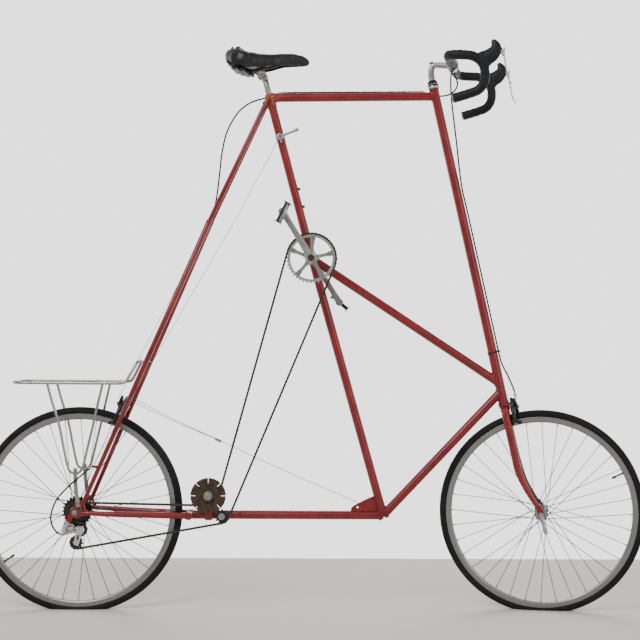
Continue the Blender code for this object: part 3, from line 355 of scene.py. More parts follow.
# ---------------------------------------------------------------- materials
class Nodes:
    """A short way to write a material's node tree."""

    def __init__(self, name, colour, metallic=0.0, roughness=0.5, **sockets):
        self.made = bpy.data.materials.new(name)
        self.made.use_nodes = True
        self.tree = self.made.node_tree
        self.shader = self.tree.nodes["Principled BSDF"]
        self.set("Base Color", (*colour, 1.0))
        self.set("Metallic", metallic)
        self.set("Roughness", roughness)
        for socket, value in sockets.items():
            self.set(socket.replace("_", " "), value)
        self.place = self.tree.nodes.new("ShaderNodeTexCoord").outputs["Object"]

    def set(self, socket, value):
        self.shader.inputs[socket].default_value = value

    def new(self, kind, **inputs):
        made = self.tree.nodes.new(kind)
        for key, value in inputs.items():
            self.feed(made.inputs[key.replace("_", " ")], value)
        return made

    def feed(self, socket, value):
        if isinstance(value, bpy.types.NodeSocket):
            self.tree.links.new(value, socket)
        else:
            socket.default_value = value

    def noise(self, scale, detail=4.0, stretch=(1, 1, 1), rough=0.5):
        mapping = self.new("ShaderNodeMapping", Vector=self.place, Scale=stretch)
        made = self.new("ShaderNodeTexNoise", Vector=mapping.outputs[0], Scale=scale, Detail=detail,
                        Roughness=rough)
        return made.outputs["Fac"]

    def ramp(self, value, low, high, start=0.0, end=1.0):
        made = self.new("ShaderNodeMapRange", Value=value)
        for key, number in (("From Min", low), ("From Max", high), ("To Min", start), ("To Max", end)):
            made.inputs[key].default_value = number
        return made.outputs[0]

    def maths(self, operation, a, b=0.0):
        made = self.tree.nodes.new("ShaderNodeMath")
        made.operation = operation
        made.use_clamp = True
        self.feed(made.inputs[0], a)
        self.feed(made.inputs[1], b)
        return made.outputs[0]

    def mix(self, share, a, b):
        made = self.tree.nodes.new("ShaderNodeMix")
        made.data_type = "RGBA"
        self.feed(made.inputs["Factor"], share)
        self.feed(made.inputs[6], (*a, 1.0) if isinstance(a, tuple) else a)
        self.feed(made.inputs[7], (*b, 1.0) if isinstance(b, tuple) else b)
        return made.outputs[2]

    def near(self, point, reach):
        """1 at a point of the object, fading to 0 at reach."""
        gap = self.tree.nodes.new("ShaderNodeVectorMath")
        gap.operation = "DISTANCE"
        self.feed(gap.inputs[0], self.place)
        gap.inputs[1].default_value = point
        return self.ramp(gap.outputs["Value"], 0.0, reach, 1.0, 0.0)

    def link(self, socket, value):
        self.feed(self.shader.inputs[socket], value)

    def bump(self, height, strength, distance=0.001):
        made = self.new("ShaderNodeBump", Height=height)
        made.inputs["Strength"].default_value = strength
        made.inputs["Distance"].default_value = distance
        self.link("Normal", made.outputs[0])


def red_paint():
    """Hand-brushed gloss red: uneven, with paler streaks, chipped, rubbed to orange at the seat."""
    n = Nodes("red_paint", (0.18, 0.006, 0.009), 0.0, 0.3, Specular_IOR_Level=0.4, Coat_Weight=0.18,
              Coat_Roughness=0.2)
    tone = n.mix(n.ramp(n.noise(14.0, 6.0), 0.35, 0.68), (0.135, 0.003, 0.005), (0.225, 0.008, 0.010))
    streak = n.ramp(n.noise(90.0, 3.0, (1, 1, 0.12)), 0.4, 0.7, 0.0, 0.3)
    tone = n.mix(streak, tone, (0.27, 0.022, 0.022))
    worn = n.maths("MULTIPLY", n.near(SEAT_CLUSTER + Vector((-0.004, -0.012, 0.006)), 0.055),
                   n.ramp(n.noise(45.0, 5.0), 0.30, 0.55))
    tone = n.mix(worn, tone, (0.30, 0.055, 0.014))
    chips = n.ramp(n.noise(75.0, 9.0, rough=0.65), 0.685, 0.71)
    tone = n.mix(chips, tone, (0.055, 0.022, 0.016))
    n.link("Base Color", tone)
    n.link("Roughness", n.ramp(n.noise(30.0, 5.0), 0.3, 0.7, 0.24, 0.42))
    n.bump(n.maths("SUBTRACT", n.noise(160.0, 4.0), n.maths("MULTIPLY", chips, 0.5)), 0.12)
    return n.made


def rubber(name, tone, roughness, scale):
    n = Nodes(name, tone, 0.0, roughness, Specular_IOR_Level=0.2)
    dust = n.ramp(n.noise(9.0, 6.0), 0.42, 0.75, 0.0, 0.45)
    n.link("Base Color", n.mix(dust, tone, tuple(v * 2.2 + 0.006 for v in tone)))
    n.link("Roughness", n.ramp(n.noise(40.0), 0.3, 0.7, roughness - 0.1, roughness + 0.12))
    n.bump(n.noise(scale, 3.0), 0.25, 0.0006)
    return n.made


def metal(name, tone, roughness, grime=(0.12, 0.10, 0.08), dirt=0.45, scale=60.0, stretch=(1, 1, 1),
          metallic=1.0):
    """Bare or plated metal with fine scratches, dull patches and grime in spots."""
    n = Nodes(name, tone, metallic, roughness)
    spots = n.maths("MULTIPLY", n.ramp(n.noise(scale, 8.0, rough=0.62), 0.50, 0.72), dirt)
    haze = n.ramp(n.noise(11.0, 5.0), 0.3, 0.7, 0.0, 0.35)
    dulled = n.mix(haze, tone, tuple(v * 0.72 for v in tone))
    n.link("Base Color", n.mix(spots, dulled, grime))
    n.link("Roughness", n.ramp(n.noise(scale * 2.5, 4.0, stretch), 0.3, 0.7, roughness - 0.07,
                               roughness + 0.16))
    n.link("Metallic", n.maths("SUBTRACT", metallic, n.maths("MULTIPLY", spots, 0.8)))
    n.bump(n.noise(scale * 6, 3.0, stretch), 0.06, 0.0004)
    return n.made


def rusty():
    """Brown rust with darker pits and an orange bloom."""
    n = Nodes("rusty_steel", (0.10, 0.055, 0.03), 0.35, 0.75)
    tone = n.mix(n.ramp(n.noise(70.0, 8.0), 0.35, 0.65), (0.022, 0.014, 0.010), (0.075, 0.038, 0.021))
    tone = n.mix(n.ramp(n.noise(210.0, 5.0), 0.55, 0.7, 0.0, 0.5), tone, (0.13, 0.06, 0.025))
    n.link("Base Color", tone)
    n.link("Roughness", n.ramp(n.noise(90.0), 0.3, 0.7, 0.6, 0.88))
    n.bump(n.noise(260.0, 6.0), 0.5, 0.0006)
    return n.made


def leather():
    """The saddle's black cover: fine grain, softly shining where it is rubbed."""
    n = Nodes("saddle_cover", (0.008, 0.008, 0.009), 0.0, 0.42, Specular_IOR_Level=0.35)
    n.link("Base Color", n.mix(n.ramp(n.noise(25.0, 6.0), 0.4, 0.7), (0.006, 0.006, 0.0065),
                               (0.018, 0.018, 0.019)))
    n.link("Roughness", n.ramp(n.noise(35.0, 5.0), 0.3, 0.7, 0.32, 0.55))
    grain = n.new("ShaderNodeTexVoronoi", Vector=n.place, Scale=900.0)
    n.bump(grain.outputs["Distance"], 0.22, 0.0005)
    return n.made


def foam():
    """Old crumbling brown foam."""
    n = Nodes("saddle_foam", (0.17, 0.095, 0.05), 0.0, 0.95)
    tone = n.mix(n.ramp(n.noise(120.0, 8.0), 0.35, 0.65), (0.035, 0.019, 0.011), (0.16, 0.088, 0.042))
    n.link("Base Color", tone)
    n.bump(n.noise(420.0, 6.0), 0.9, 0.0012)
    return n.made


def build_materials():
    return {
        "paint": red_paint(),
        "tyre": rubber("tyre_rubber", (0.0065, 0.0065, 0.006), 0.72, 500.0),
        "hood": rubber("hood_rubber", (0.007, 0.0085, 0.0095), 0.5, 900.0),
        "tape": rubber("bar_tape", (0.0065, 0.0072, 0.008), 0.55, 1400.0),
        "pad": rubber("brake_pad", (0.014, 0.014, 0.014), 0.8, 600.0),
        "rim": metal("rim_alloy", (0.27, 0.27, 0.265), 0.36, dirt=0.3),
        "steel": metal("steel", (0.32, 0.31, 0.29), 0.34, dirt=0.4),
        "spoke": metal("spoke_steel", (0.06, 0.06, 0.058), 0.38, dirt=0.3),
        "rack": metal("rack_steel", (0.38, 0.37, 0.355), 0.24, dirt=0.35),
        "alloy": metal("alloy", (0.37, 0.365, 0.345), 0.33, dirt=0.4, stretch=(1, 1, 0.3)),
        "lever": metal("lever_alloy", (0.46, 0.465, 0.46), 0.34, dirt=0.2),
        "chrome": metal("chrome", (0.58, 0.58, 0.57), 0.12, dirt=0.3),
        "black": metal("black_metal", (0.012, 0.012, 0.012), 0.42, (0.05, 0.045, 0.04), 0.4,
                       metallic=0.35),
        "rust": rusty(),
        "chain": metal("chain_steel", (0.075, 0.065, 0.052), 0.42, (0.014, 0.012, 0.009), 0.85, 140.0),
        "cog": metal("cog_steel", (0.06, 0.055, 0.05), 0.45, (0.02, 0.017, 0.014), 0.8, 120.0),
        "brass": metal("brass", (0.26, 0.23, 0.165), 0.42, (0.12, 0.09, 0.06), 0.5),
        "clamp": metal("clamp_steel", (0.30, 0.28, 0.235), 0.45, (0.14, 0.11, 0.07), 0.6),
        "cover": leather(),
        "foam": foam(),
        "cable": rubber("cable_black", (0.010, 0.010, 0.011), 0.42, 800.0),
        "wire": metal("wire", (0.20, 0.195, 0.19), 0.4, dirt=0.4),
    }


M = build_materials()


# ---------------------------------------------------------------- frame
TUBES = {
    "head_upper": (on_head(0.0005), on_head(SEAM_DOWN), HEAD_UPPER),
    "head_lower": (on_head(SEAM_DOWN - 0.002), on_head(HEAD_LENGTH - 0.0005), HEAD_TUBE),
    "top": (SEAT_CLUSTER, on_head(0.0262), TUBE),
    "seat": (SEAT_TOP, CRANK, TUBE),
    "seat_low": (CRANK, LOWER_JOINT, TUBE),
    "mid": (CRANK, on_head(0.9990), TUBE),
    "down": (LOWER_JOINT, on_head(1.0265), TUBE),
    "bottom": (LOWER_JOINT, YOKE, TUBE),
}


def tube(name):
    a, b, radius = TUBES[name]
    steps = max(2, round((b - a).length / 0.08))
    line = [a.lerp(b, k / steps) for k in range(steps + 1)]
    return sweep(line, radius, 36, dome=False)


def weld_bead(start, way, radius, other_line, other_radius, size=0.0026, seed=0.0):
    """The filed weld where a tube running from start along way leaves the wall of another."""
    way = way.normalized()
    a, b = other_line
    axis = (b - a).normalized()
    across = way.cross(axis).normalized()
    up = across.cross(way)
    points = []
    count = 44
    for k in range(count):
        turn = 2 * math.pi * k / count
        spot = start + (across * math.cos(turn) + up * math.sin(turn)) * radius
        gap = spot - a - axis * (spot - a).dot(axis)
        run = way - axis * way.dot(axis)
        half, square = gap.dot(run), run.length_squared
        rest = half * half - square * (gap.length_squared - other_radius ** 2)
        points.append(spot + way * ((-half + math.sqrt(max(rest, 0.0))) / square))
    return sweep(points, size, 10, closed=True, start=way,
                 ripple=lambda run, turn: size * 0.16 * math.sin(run * 1700 + seed))


def tube_weld(name, on, size=0.0027, far=False, seed=0.0):
    """A weld at one end of a tube; it stands for the fillet between two tubes."""
    a, b, radius = TUBES[name]
    start, way = (b, a - b) if far else (a, b - a)
    line = TUBES[on]
    return weld_bead(start, way, radius, line[:2], line[2], size, seed)


def build_main_tubes():
    seam = lathe([(HEAD_UPPER, -0.003), (HEAD_TUBE + 0.0009, -0.0010), (HEAD_TUBE + 0.0011, 0.0008),
                  (HEAD_TUBE, 0.003)], on_head(SEAM_DOWN), DOWN)
    ends = [lathe([(HEAD_UPPER - 0.002, 0.0), (HEAD_UPPER + 0.0012, 0.0005),
                   (HEAD_UPPER + 0.0012, 0.006), (HEAD_UPPER, 0.0075)], on_head(0.0), DOWN),
            lathe([(HEAD_TUBE, -0.009), (HEAD_TUBE + 0.0012, -0.0075), (HEAD_TUBE + 0.0012, -0.0008),
                   (HEAD_TUBE - 0.002, 0.0)], on_head(HEAD_LENGTH), DOWN)]
    shapes = [tube("head_upper"), tube("head_lower"), seam, *ends]
    piece("head_tube_pair", merged(*shapes), "frame", M["paint"], "red_paint", ["head_tube"])
    piece("top_tube_painted", merged(tube("top"), tube_weld("top", "head_upper", far=True),
                                     tube_weld("top", "seat", 0.0032)),
          "frame", M["paint"], "red_paint", ["top_tube"])
    piece("mid_tube_painted", merged(tube("mid"), tube_weld("mid", "head_lower", far=True, seed=2.0)),
          "frame", M["paint"], "red_paint", ["mid_tube"])
    piece("down_tube_painted", merged(tube("down"), tube_weld("down", "head_lower", far=True),
                                      tube_weld("down", "seat_low", 0.0034)),
          "frame", M["paint"], "red_paint", ["down_tube"])
    build_seat_tube()
    build_bottom_tube()


def build_seat_tube():
    """Seat tube, crank shell, and the seat lug whose two ears the binder bolt pulls together."""
    shell_line = (CRANK - Y_AXIS * 0.034, CRANK + Y_AXIS * 0.034)
    shell = lathe([(0.0190, -0.0340), (0.0203, -0.0334), (0.0205, -0.0310), (0.0205, 0.0310),
                   (0.0203, 0.0334), (0.0190, 0.0340)], CRANK)
    beads = [weld_bead(CRANK, TUBES[name][1] - TUBES[name][0] if name != "seat" else SEAT_WAY,
                       TUBE, shell_line, 0.0205, 0.0026)
             for name in ("seat", "seat_low", "mid")]
    back = SEAT_WAY.cross(Y_AXIS)
    collar = lathe([(TUBE, -0.0480), (TUBE + 0.0016, -0.0450), (TUBE + 0.0020, -0.0080),
                    (TUBE + 0.0014, -0.0010), (TUBE - 0.003, 0.0), (0.0102, -0.0006), (0.0102, -0.004)],
                   SEAT_TOP, SEAT_WAY)
    lug = SEAT_TOP - SEAT_WAY * 0.026
    middle = lug + back * 0.0205
    ears = rod(middle - Y_AXIS * 0.0165, middle + Y_AXIS * 0.0165, 0.0068)
    bridge = rod(lug, lug + back * 0.021, 0.0085, flat=0.7)
    gusset = rod(SEAT_CLUSTER - Vector((0.004, 0, 0.002)), SEAT_CLUSTER + Vector((0.030, 0, 0.0015)),
                 TUBE + 0.0016, 32)
    bosses = []
    for root in BOTTLE_BOSSES:
        bosses.append(lathe([(0.0068, TUBE - 0.002), (0.0060, TUBE + 0.0012), (0.0050, TUBE + 0.0018),
                             (0.0048, 0.0182), (0.0030, 0.0185), (0.0028, 0.0160)], root, BOSS_WAY, 24))
    piece("seat_tube_painted", merged(tube("seat"), tube("seat_low"), shell, *beads, collar, ears,
                                      bridge, gusset, *bosses),
          "frame", M["paint"], "red_paint", ["seat_tube"])
    bottle_bolts = []
    for boss in BOTTLE_BOSSES:
        root = boss + BOSS_WAY * 0.0152
        bottle_bolts.append(lathe([(0.0026, 0.0), (0.0044, 0.0034), (0.0046, 0.0050), (0.0038, 0.0062),
                                   (0.0021, 0.0064), (0.0020, 0.0040)], root, BOSS_WAY, 24))
    piece("bottle_bolts", merged(*bottle_bolts), "frame", M["black"], "black_metal")
    binder = []
    for sign in (-1, 1):
        binder.append(lathe([(0.0030, 0.0155), (0.0052, 0.0160), (0.0054, 0.0195), (0.0046, 0.0212),
                             (0.0026, 0.0214), (0.0024, 0.0190)], middle, Y_AXIS * sign, 24))
    piece("seat_binder_bolt", merged(*binder), "frame", M["rust"], "rusty_steel")


def build_bottom_tube():
    """The level tube with its cross yoke and the tabs that carry the idler and the tensioner."""
    idler = joint_at("idler_spin")
    tensioner = joint_at("tensioner_spin")
    beads = [tube_weld("bottom", "seat_low", 0.0034),
             weld_bead(YOKE, LOWER_JOINT - YOKE, TUBE, (YOKE - Y_AXIS * 0.04, YOKE + Y_AXIS * 0.04), 0.0125)]
    yoke = lathe([(0.0105, -0.0405), (0.0125, -0.0392), (0.0125, 0.0392), (0.0105, 0.0405)], YOKE)
    stub = rod(Vector((idler.x, -0.005, YOKE.z)), Vector((idler.x, -0.0365, YOKE.z)), 0.0090)
    foot = Vector((idler.x, 0, YOKE.z))
    tab = [foot + Vector((x, 0, z)) for x, z in
           ((-0.0130, -0.0100), (-0.0070, -0.0125), (0.0070, -0.0125), (0.0130, -0.0100),
            (0.0112, 0.0640), (0.0070, 0.0790), (-0.0070, 0.0790), (-0.0112, 0.0640))]
    tension_tab = capsule(Vector((tensioner.x, 0, YOKE.z)), tensioner + Vector((0.0020, 0, -0.0180)),
                          0.0090, 0.0070)
    tension_stub = rod(Vector((tensioner.x, -0.005, YOKE.z)), Vector((tensioner.x, -0.0395, YOKE.z)), 0.0080)
    piece("bottom_tube_painted", merged(tube("bottom"), yoke, stub, tension_stub, *beads,
                                        plate(tab, -0.0395, -0.0345)),
          "frame", M["paint"], "red_paint", ["bottom_tube"], bevel=0.0006)
    piece("tensioner_tab", plate(tension_tab, -0.0405, -0.0370), "frame", M["steel"], "steel", bevel=0.0008)
    ends = [lathe([(0.0116, 0.0398), (0.0118, 0.0416), (0.0060, 0.0424), (0.0010, 0.0426)], YOKE,
                  Y_AXIS * sign) for sign in (-1, 1)]
    piece("yoke_caps", merged(*ends), "frame", M["paint"], "red_paint", bevel=0.0004)
    bolts = []
    for centre, reach in ((idler, -0.0660), (tensioner, -0.0575)):
        bolts += [rod(Vector((centre.x, -0.0330, centre.z)), Vector((centre.x, reach, centre.z)), 0.0046),
                  hexagon(Vector((centre.x, reach + 0.0015, centre.z)), -Y_AXIS, 0.0170, 0.0058),
                  lathe([(0.0112, 0.0), (0.0112, 0.0012), (0.0050, 0.0014)],
                        Vector((centre.x, reach + 0.0028, centre.z)), -Y_AXIS)]
    piece("wheel_bolts", merged(*bolts), "frame", M["steel"], "steel")
    build_gusset()


def build_gusset():
    """A folded plate in the corner of the lower joint, with its upper edge turned over."""
    outline = [at(x, z) for x, z in ((0.8905, 0.3300), (0.8925, 0.3450), (0.9120, 0.3570),
                                     (0.9620, 0.3800), (0.9850, 0.3815), (0.9850, 0.3300))]
    hole = circle(at(0.9090, 0.3478), 0.0032, 16)
    body = plate(outline, -0.0026, 0.0026, [hole])
    lip = [at(x, z, y) for x, z, y in ((0.8912, 0.3350, -0.004), (0.8935, 0.3462, -0.0045),
                                       (0.9120, 0.3580, -0.005), (0.9600, 0.3806, -0.005),
                                       (0.9830, 0.3820, -0.004))]
    piece("gusset_folded", merged(body, sweep(smooth_route(lip, 0.006), 0.0017, 8, flat=2.6)),
          "frame", M["paint"], "red_paint", ["gusset_plate"], bevel=0.0006)


def dropout_shape(sign):
    """A rear dropout: a plate with a long axle slot, an eyelet and, on the right, the gear hanger."""
    plain = [(-0.0140, 0.0060), (-0.0158, -0.0030), (-0.0130, -0.0110), (-0.0060, -0.0150)]
    hanger = [(-0.0140, 0.0060), (-0.0210, -0.0080), (-0.0340, -0.0280), (-0.0335, -0.0370),
              (-0.0270, -0.0430), (-0.0180, -0.0430), (-0.0130, -0.0330), (-0.0060, -0.0160)]
    rest = [(0.0100, -0.0135), (0.0260, -0.0105), (0.0400, -0.0090), (0.0400, 0.0080), (0.0345, 0.0120),
            (0.0300, 0.0340), (0.0230, 0.0395), (0.0160, 0.0380), (0.0080, 0.0310), (0.0000, 0.0280),
            (-0.0065, 0.0160)]
    outline = [REAR + Vector((x, 0, z)) for x, z in (hanger if sign < 0 else plain) + rest]
    window = [REAR + Vector((x, 0, z)) for x, z in
              ((0.0150, 0.0080), (0.0290, 0.0045), (0.0255, 0.0210), (0.0185, 0.0240), (0.0120, 0.0160))]
    eyelet = circle(REAR + Vector((0.0120, 0, 0.0300)), 0.0026, 14)
    near = sign * REAR_DROPOUT_Y
    return plate(outline, near, near + sign * 0.0042, [window, eyelet])


def build_stays():
    for sign, name in ((-1, "right"), (1, "left")):
        low = smooth_route([YOKE + Y_AXIS * sign * 0.028, at(0.240, 0.3256, sign * 0.0400),
                            at(0.120, 0.3300, sign * 0.0540), at(0.0300, 0.3350, sign * 0.0628)], 0.02)
        end = REAR + Vector((0.0210, sign * 0.0648, -0.0010))
        neck = sweep([low[-1], low[-1].lerp(end, 0.6), end], [0.0072, 0.0066, 0.0038], 20, flat=0.8)
        bead = weld_bead(low[0], low[1] - low[0], 0.0104, (YOKE - Y_AXIS * 0.04, YOKE + Y_AXIS * 0.04),
                         0.0125,
                         0.0026)
        piece(f"chainstay_{name}_painted",
              merged(sweep(low, [0.0104, 0.0100, 0.0090, 0.0074], 28), neck, bead, dropout_shape(sign)),
              "frame", M["paint"], "red_paint", [f"chainstay_{name}"], bevel=0.0005)
        top, weld = at(0.6050, 1.6930, sign * 0.0170), at(*STAY_WELD, sign * 0.023)
        foot = at(*STAY_FOOT, sign * 0.0630)
        upper = sweep([top, top.lerp(weld, 0.5), weld], 0.0075, 24)
        lower = sweep([weld - (foot - weld).normalized() * 0.010, weld.lerp(foot, 0.5),
                       foot + Vector((0.004, 0, 0.004))], [0.0092, 0.0092, 0.0078, 0.0070], 24)
        flat = sweep([foot + Vector((0.004, 0, 0.004)), foot,
                      foot + Vector((-0.0035, sign * 0.0022, -0.011))],
                     [0.0070, 0.0066, 0.0040], 20, flat=0.8)
        way = (foot - weld).normalized()
        joint = lathe([(0.0074, -0.016), (0.0100, -0.0115), (0.0104, -0.0090), (0.0092, -0.0050)],
                      weld, way, 28)
        shapes = [upper, lower, flat, joint]
        if sign > 0:
            shapes += bridge_shapes()
        piece(f"seatstay_{name}_painted", merged(*shapes), "frame", M["paint"], "red_paint",
              [f"seatstay_{name}"])


def stay_y(height):
    """How far out the middle of a seatstay is at a height below its weld."""
    return 0.023 + (STAY_WELD[1] - height) / (STAY_WELD[1] - STAY_FOOT[1]) * 0.040


def bridge_shapes():
    """The brake bridge, with a sleeve through it for the brake's bolt."""
    half = stay_y(BRIDGE[1])
    bar = sweep([at(*BRIDGE, -half), at(*BRIDGE, 0.0), at(*BRIDGE, half)], [0.0064, 0.0058, 0.0064], 20)
    down = Vector((STAY_WELD[0] - STAY_FOOT[0], 0, STAY_WELD[1] - STAY_FOOT[1])).normalized()
    rearward = quarter_turn(down)
    sleeve = lathe([(0.0052, -0.0090), (0.0082, -0.0080), (0.0082, 0.0080), (0.0052, 0.0090)],
                   at(*BRIDGE), rearward, 24)
    return [bar, sleeve]


def build_headset():
    upper = lathe([(0.0134, 0.0002), (0.0180, 0.0002), (0.0196, -0.0016), (0.0200, -0.0060),
                   (0.0190, -0.0085), (0.0134, -0.0088)], on_head(0), DOWN)
    piece("headset_cup_top", upper, "frame", M["chrome"], "chrome", ["headset_upper_cup"], bevel=0.0004)
    start = HEAD_LENGTH
    lower = lathe([(0.0134, start), (0.0182, start), (0.0198, start + 0.0018), (0.0200, start + 0.0070),
                   (0.0178, start + 0.0092), (0.0134, start + 0.0094)], on_head(0), DOWN)
    piece("headset_cup_low", lower, "frame", M["paint"], "red_paint", ["headset_lower_cup"], bevel=0.0004)
    seat = [(0.0134, -0.0092), (0.0172, -0.0092), (0.0185, -0.0118), (0.0180, -0.0142), (0.0134, -0.0142)]
    piece("headset_bearing_seat", lathe(seat, on_head(0), DOWN), "steering", M["black"], "black_metal",
          steered=True, bevel=0.0004)
    cone = lathe([(0.0126, -0.0144), (0.0165, -0.0146), (0.0168, -0.0158), (0.0126, -0.0162)], on_head(0),
                 DOWN)
    nut = hexagon(on_head(-0.0164), UP, 0.0350, 0.0082, 0.3)
    ring = lathe([(0.0100, -0.0240), (0.0138, -0.0246), (0.0142, -0.0262), (0.0120, -0.0278),
                  (0.0106, -0.0280)],
                 on_head(0), DOWN)
    piece("headset_cone", cone, "steering", M["chrome"], "chrome", steered=True)
    piece("headset_locknut", merged(nut, ring), "steering", M["black"], "black_metal", steered=True,
          bevel=0.0005)


# ---------------------------------------------------------------- wheels
RIM_EDGE = 0.3144
RIM_INNER = 0.2950
TYRE_SECTION = 0.0126
FLANGE_HOLES = 18
HOLE_CIRCLE = 0.0195


def tyre_shape(centre):
    """The tyre with its tread rib and sidewalls, pressed flat and bulging where it stands."""
    middle = WHEEL_RADIUS - TYRE_SECTION
    count, around = 20, 192
    half = math.acos((RIM_EDGE - 0.0004 - middle) / TYRE_SECTION)
    shape = bmesh.new()
    rings = []
    for k in range(around):
        turn = 2 * math.pi * (k + 0.5) / around
        ring = []
        for j in range(count + 1):
            bend = half * (2 * j / count - 1)
            radius = middle + TYRE_SECTION * math.cos(bend)
            radius -= 0.0005 if abs(abs(bend) - 0.62) < 0.09 else 0.0
            y = TYRE_SECTION * math.sin(bend)
            spot = Vector((radius * math.cos(turn), y, radius * math.sin(turn)))
            floor = GROUND - WHEEL_RADIUS
            near = max(0.0, 1.0 - abs(math.atan2(spot.x, -spot.z)) / 0.34)
            if near:
                swell = near * near * (3 - 2 * near)
                spot.y *= 1 + 0.30 * swell * (1 - abs(math.sin(bend)) * 0.35)
                if spot.z < floor:
                    spot.z = floor + (spot.z - floor) * 0.02
            ring.append(shape.verts.new(centre + spot))
        rings.append(ring)
    skin(shape, rings, closed=True)
    return shape


def rim_shapes(centre):
    """A box rim with hooked brake walls, and the well between them left open towards the tyre."""
    half = 0.0096
    profile = [(RIM_INNER, -0.0030), (RIM_INNER, 0.0030), (RIM_INNER + 0.0008, 0.0056),
               (RIM_INNER + 0.0042, half - 0.0007), (RIM_INNER + 0.0062, half), (RIM_EDGE - 0.0008, half),
               (RIM_EDGE, half - 0.0006), (RIM_EDGE, half - 0.0020), (RIM_EDGE - 0.0050, half - 0.0022),
               (RIM_EDGE - 0.0062, 0.0), (RIM_EDGE - 0.0050, 0.0022 - half), (RIM_EDGE, 0.0020 - half),
               (RIM_EDGE, 0.0006 - half), (RIM_EDGE - 0.0008, -half), (RIM_INNER + 0.0062, -half),
               (RIM_INNER + 0.0042, 0.0007 - half), (RIM_INNER + 0.0008, -0.0056)]
    return lathe(profile, centre, Y_AXIS, 144, closed=True)


def wheel_spokes(centre, flanges):
    """36 spokes crossed three times, each with its bent head outside or inside the flange."""
    spokes, nipples = [], []
    step = 360 / FLANGE_HOLES
    for flange, start in zip(flanges, (0.0, math.radians(step / 2))):
        for k in range(FLANGE_HOLES):
            way = 1 if k % 2 else -1
            hub_turn = start + math.radians(step * k)
            rim_turn = hub_turn + way * math.radians(3 * step)
            root = polar(centre, HOLE_CIRCLE, hub_turn, flange + way * 0.0019)
            rim = polar(centre, RIM_INNER - 0.0015, rim_turn, way * 0.0009)
            line = (rim - root).normalized()
            head = polar(centre, HOLE_CIRCLE, hub_turn, flange - way * 0.0021)
            spokes.append(sweep([head, root, root + line * 0.002, rim], [0.0013, 0.0012, 0.0012, 0.0012], 6))
            nipples.append(sweep([rim - line * 0.0095, rim - line * 0.008, rim + line * 0.0022],
                                 [0.0012, 0.0017, 0.0019], 8))
    return merged(*spokes), merged(*nipples)


def hub_shape(centre, flanges):
    low, high = flanges
    profile = [(0.0062, low - 0.0060), (0.0118, low - 0.0055), (0.0124, low - 0.0020),
               (0.0208, low - 0.0017), (0.0220, low - 0.0010), (0.0222, low + 0.0010), (0.0210, low + 0.0018),
               (0.0140, low + 0.0040), (0.0112, low + 0.0085), (0.0108, (low + high) / 2),
               (0.0112, high - 0.0085), (0.0140, high - 0.0040), (0.0210, high - 0.0018),
               (0.0222, high - 0.0010), (0.0220, high + 0.0010), (0.0208, high + 0.0017),
               (0.0124, high + 0.0020), (0.0118, high + 0.0055), (0.0062, high + 0.0060)]
    return lathe(profile, centre)


def valve_shapes(centre, turn):
    way = pointing(turn)
    root = centre + way * (RIM_INNER + 0.002)
    stem = lathe([(0.0030, 0.0), (0.0030, 0.020), (0.0026, 0.0205), (0.0026, 0.034), (0.0021, 0.036)],
                 root, -way, 20)
    cap = lathe([(0.0036, 0.026), (0.0039, 0.027), (0.0039, 0.038), (0.0026, 0.0408)], root, -way, 12)
    nut = lathe([(0.0046, 0.0), (0.0052, 0.001), (0.0052, 0.0035), (0.0034, 0.0045)], root, -way, 6)
    return merged(stem, cap, nut)


def build_wheel(name, centre, flanges, body, hold, valve_turn):
    steered = name == "front"
    spokes, nipples = wheel_spokes(centre, flanges)
    turned = dict(steered=steered)
    piece(f"{name}_tyre_soft", tyre_shape(centre), hold, M["tyre"], "tyre_rubber", [f"{name}_tyre"],
          sharp=60, **turned)
    piece(f"{name}_rim_box", rim_shapes(centre), body, M["rim"], "rim_alloy", [f"{name}_rim"], sharp=28,
          **turned)
    piece(f"{name}_spoke_set", spokes, body, M["spoke"], "steel", [f"{name}_spokes"], **turned)
    piece(f"{name}_nipples", nipples, body, M["steel"], "steel", **turned)
    piece(f"{name}_hub_shell", hub_shape(centre, flanges), body, M["alloy"], "alloy", **turned)
    piece(f"{name}_valve", valve_shapes(centre, valve_turn), body, M["black"], "black_metal", **turned)


def build_rear_axle():
    edge = REAR_DROPOUT_Y
    shapes = [rod(REAR - Y_AXIS * (edge + 0.0128), REAR + Y_AXIS * (edge + 0.0100), 0.0046),
              hexagon(REAR - Y_AXIS * (edge + 0.0050), -Y_AXIS, 0.0172, 0.0068, 0.1),
              hexagon(REAR + Y_AXIS * (edge + 0.0050), Y_AXIS, 0.0172, 0.0058, 0.4)]
    for sign in (-1, 1):
        shapes.append(lathe([(0.0046, edge + 0.0042), (0.0098, edge + 0.0042), (0.0098, edge + 0.0056),
                             (0.0046, edge + 0.0058)], REAR, Y_AXIS * sign, 24))
    shapes.append(hexagon(REAR - Y_AXIS * (edge - 0.0003), Y_AXIS, 0.0150, 0.0062, 0.3))
    shapes.append(lathe([(0.0046, 0.0520), (0.0072, 0.0520), (0.0072, 0.0400), (0.0046, 0.0395)], REAR,
                        -Y_AXIS))
    shapes.append(hexagon(REAR + Y_AXIS * (edge - 0.0003), -Y_AXIS, 0.0150, 0.0062, 0.6))
    shapes.append(lathe([(0.0046, 0.0570), (0.0074, 0.0570), (0.0074, 0.0420), (0.0046, 0.0405)], REAR,
                        Y_AXIS))
    piece("rear_axle_nuts", merged(*shapes), "frame", M["steel"], "steel", ["rear_axle"], bevel=0.0003)


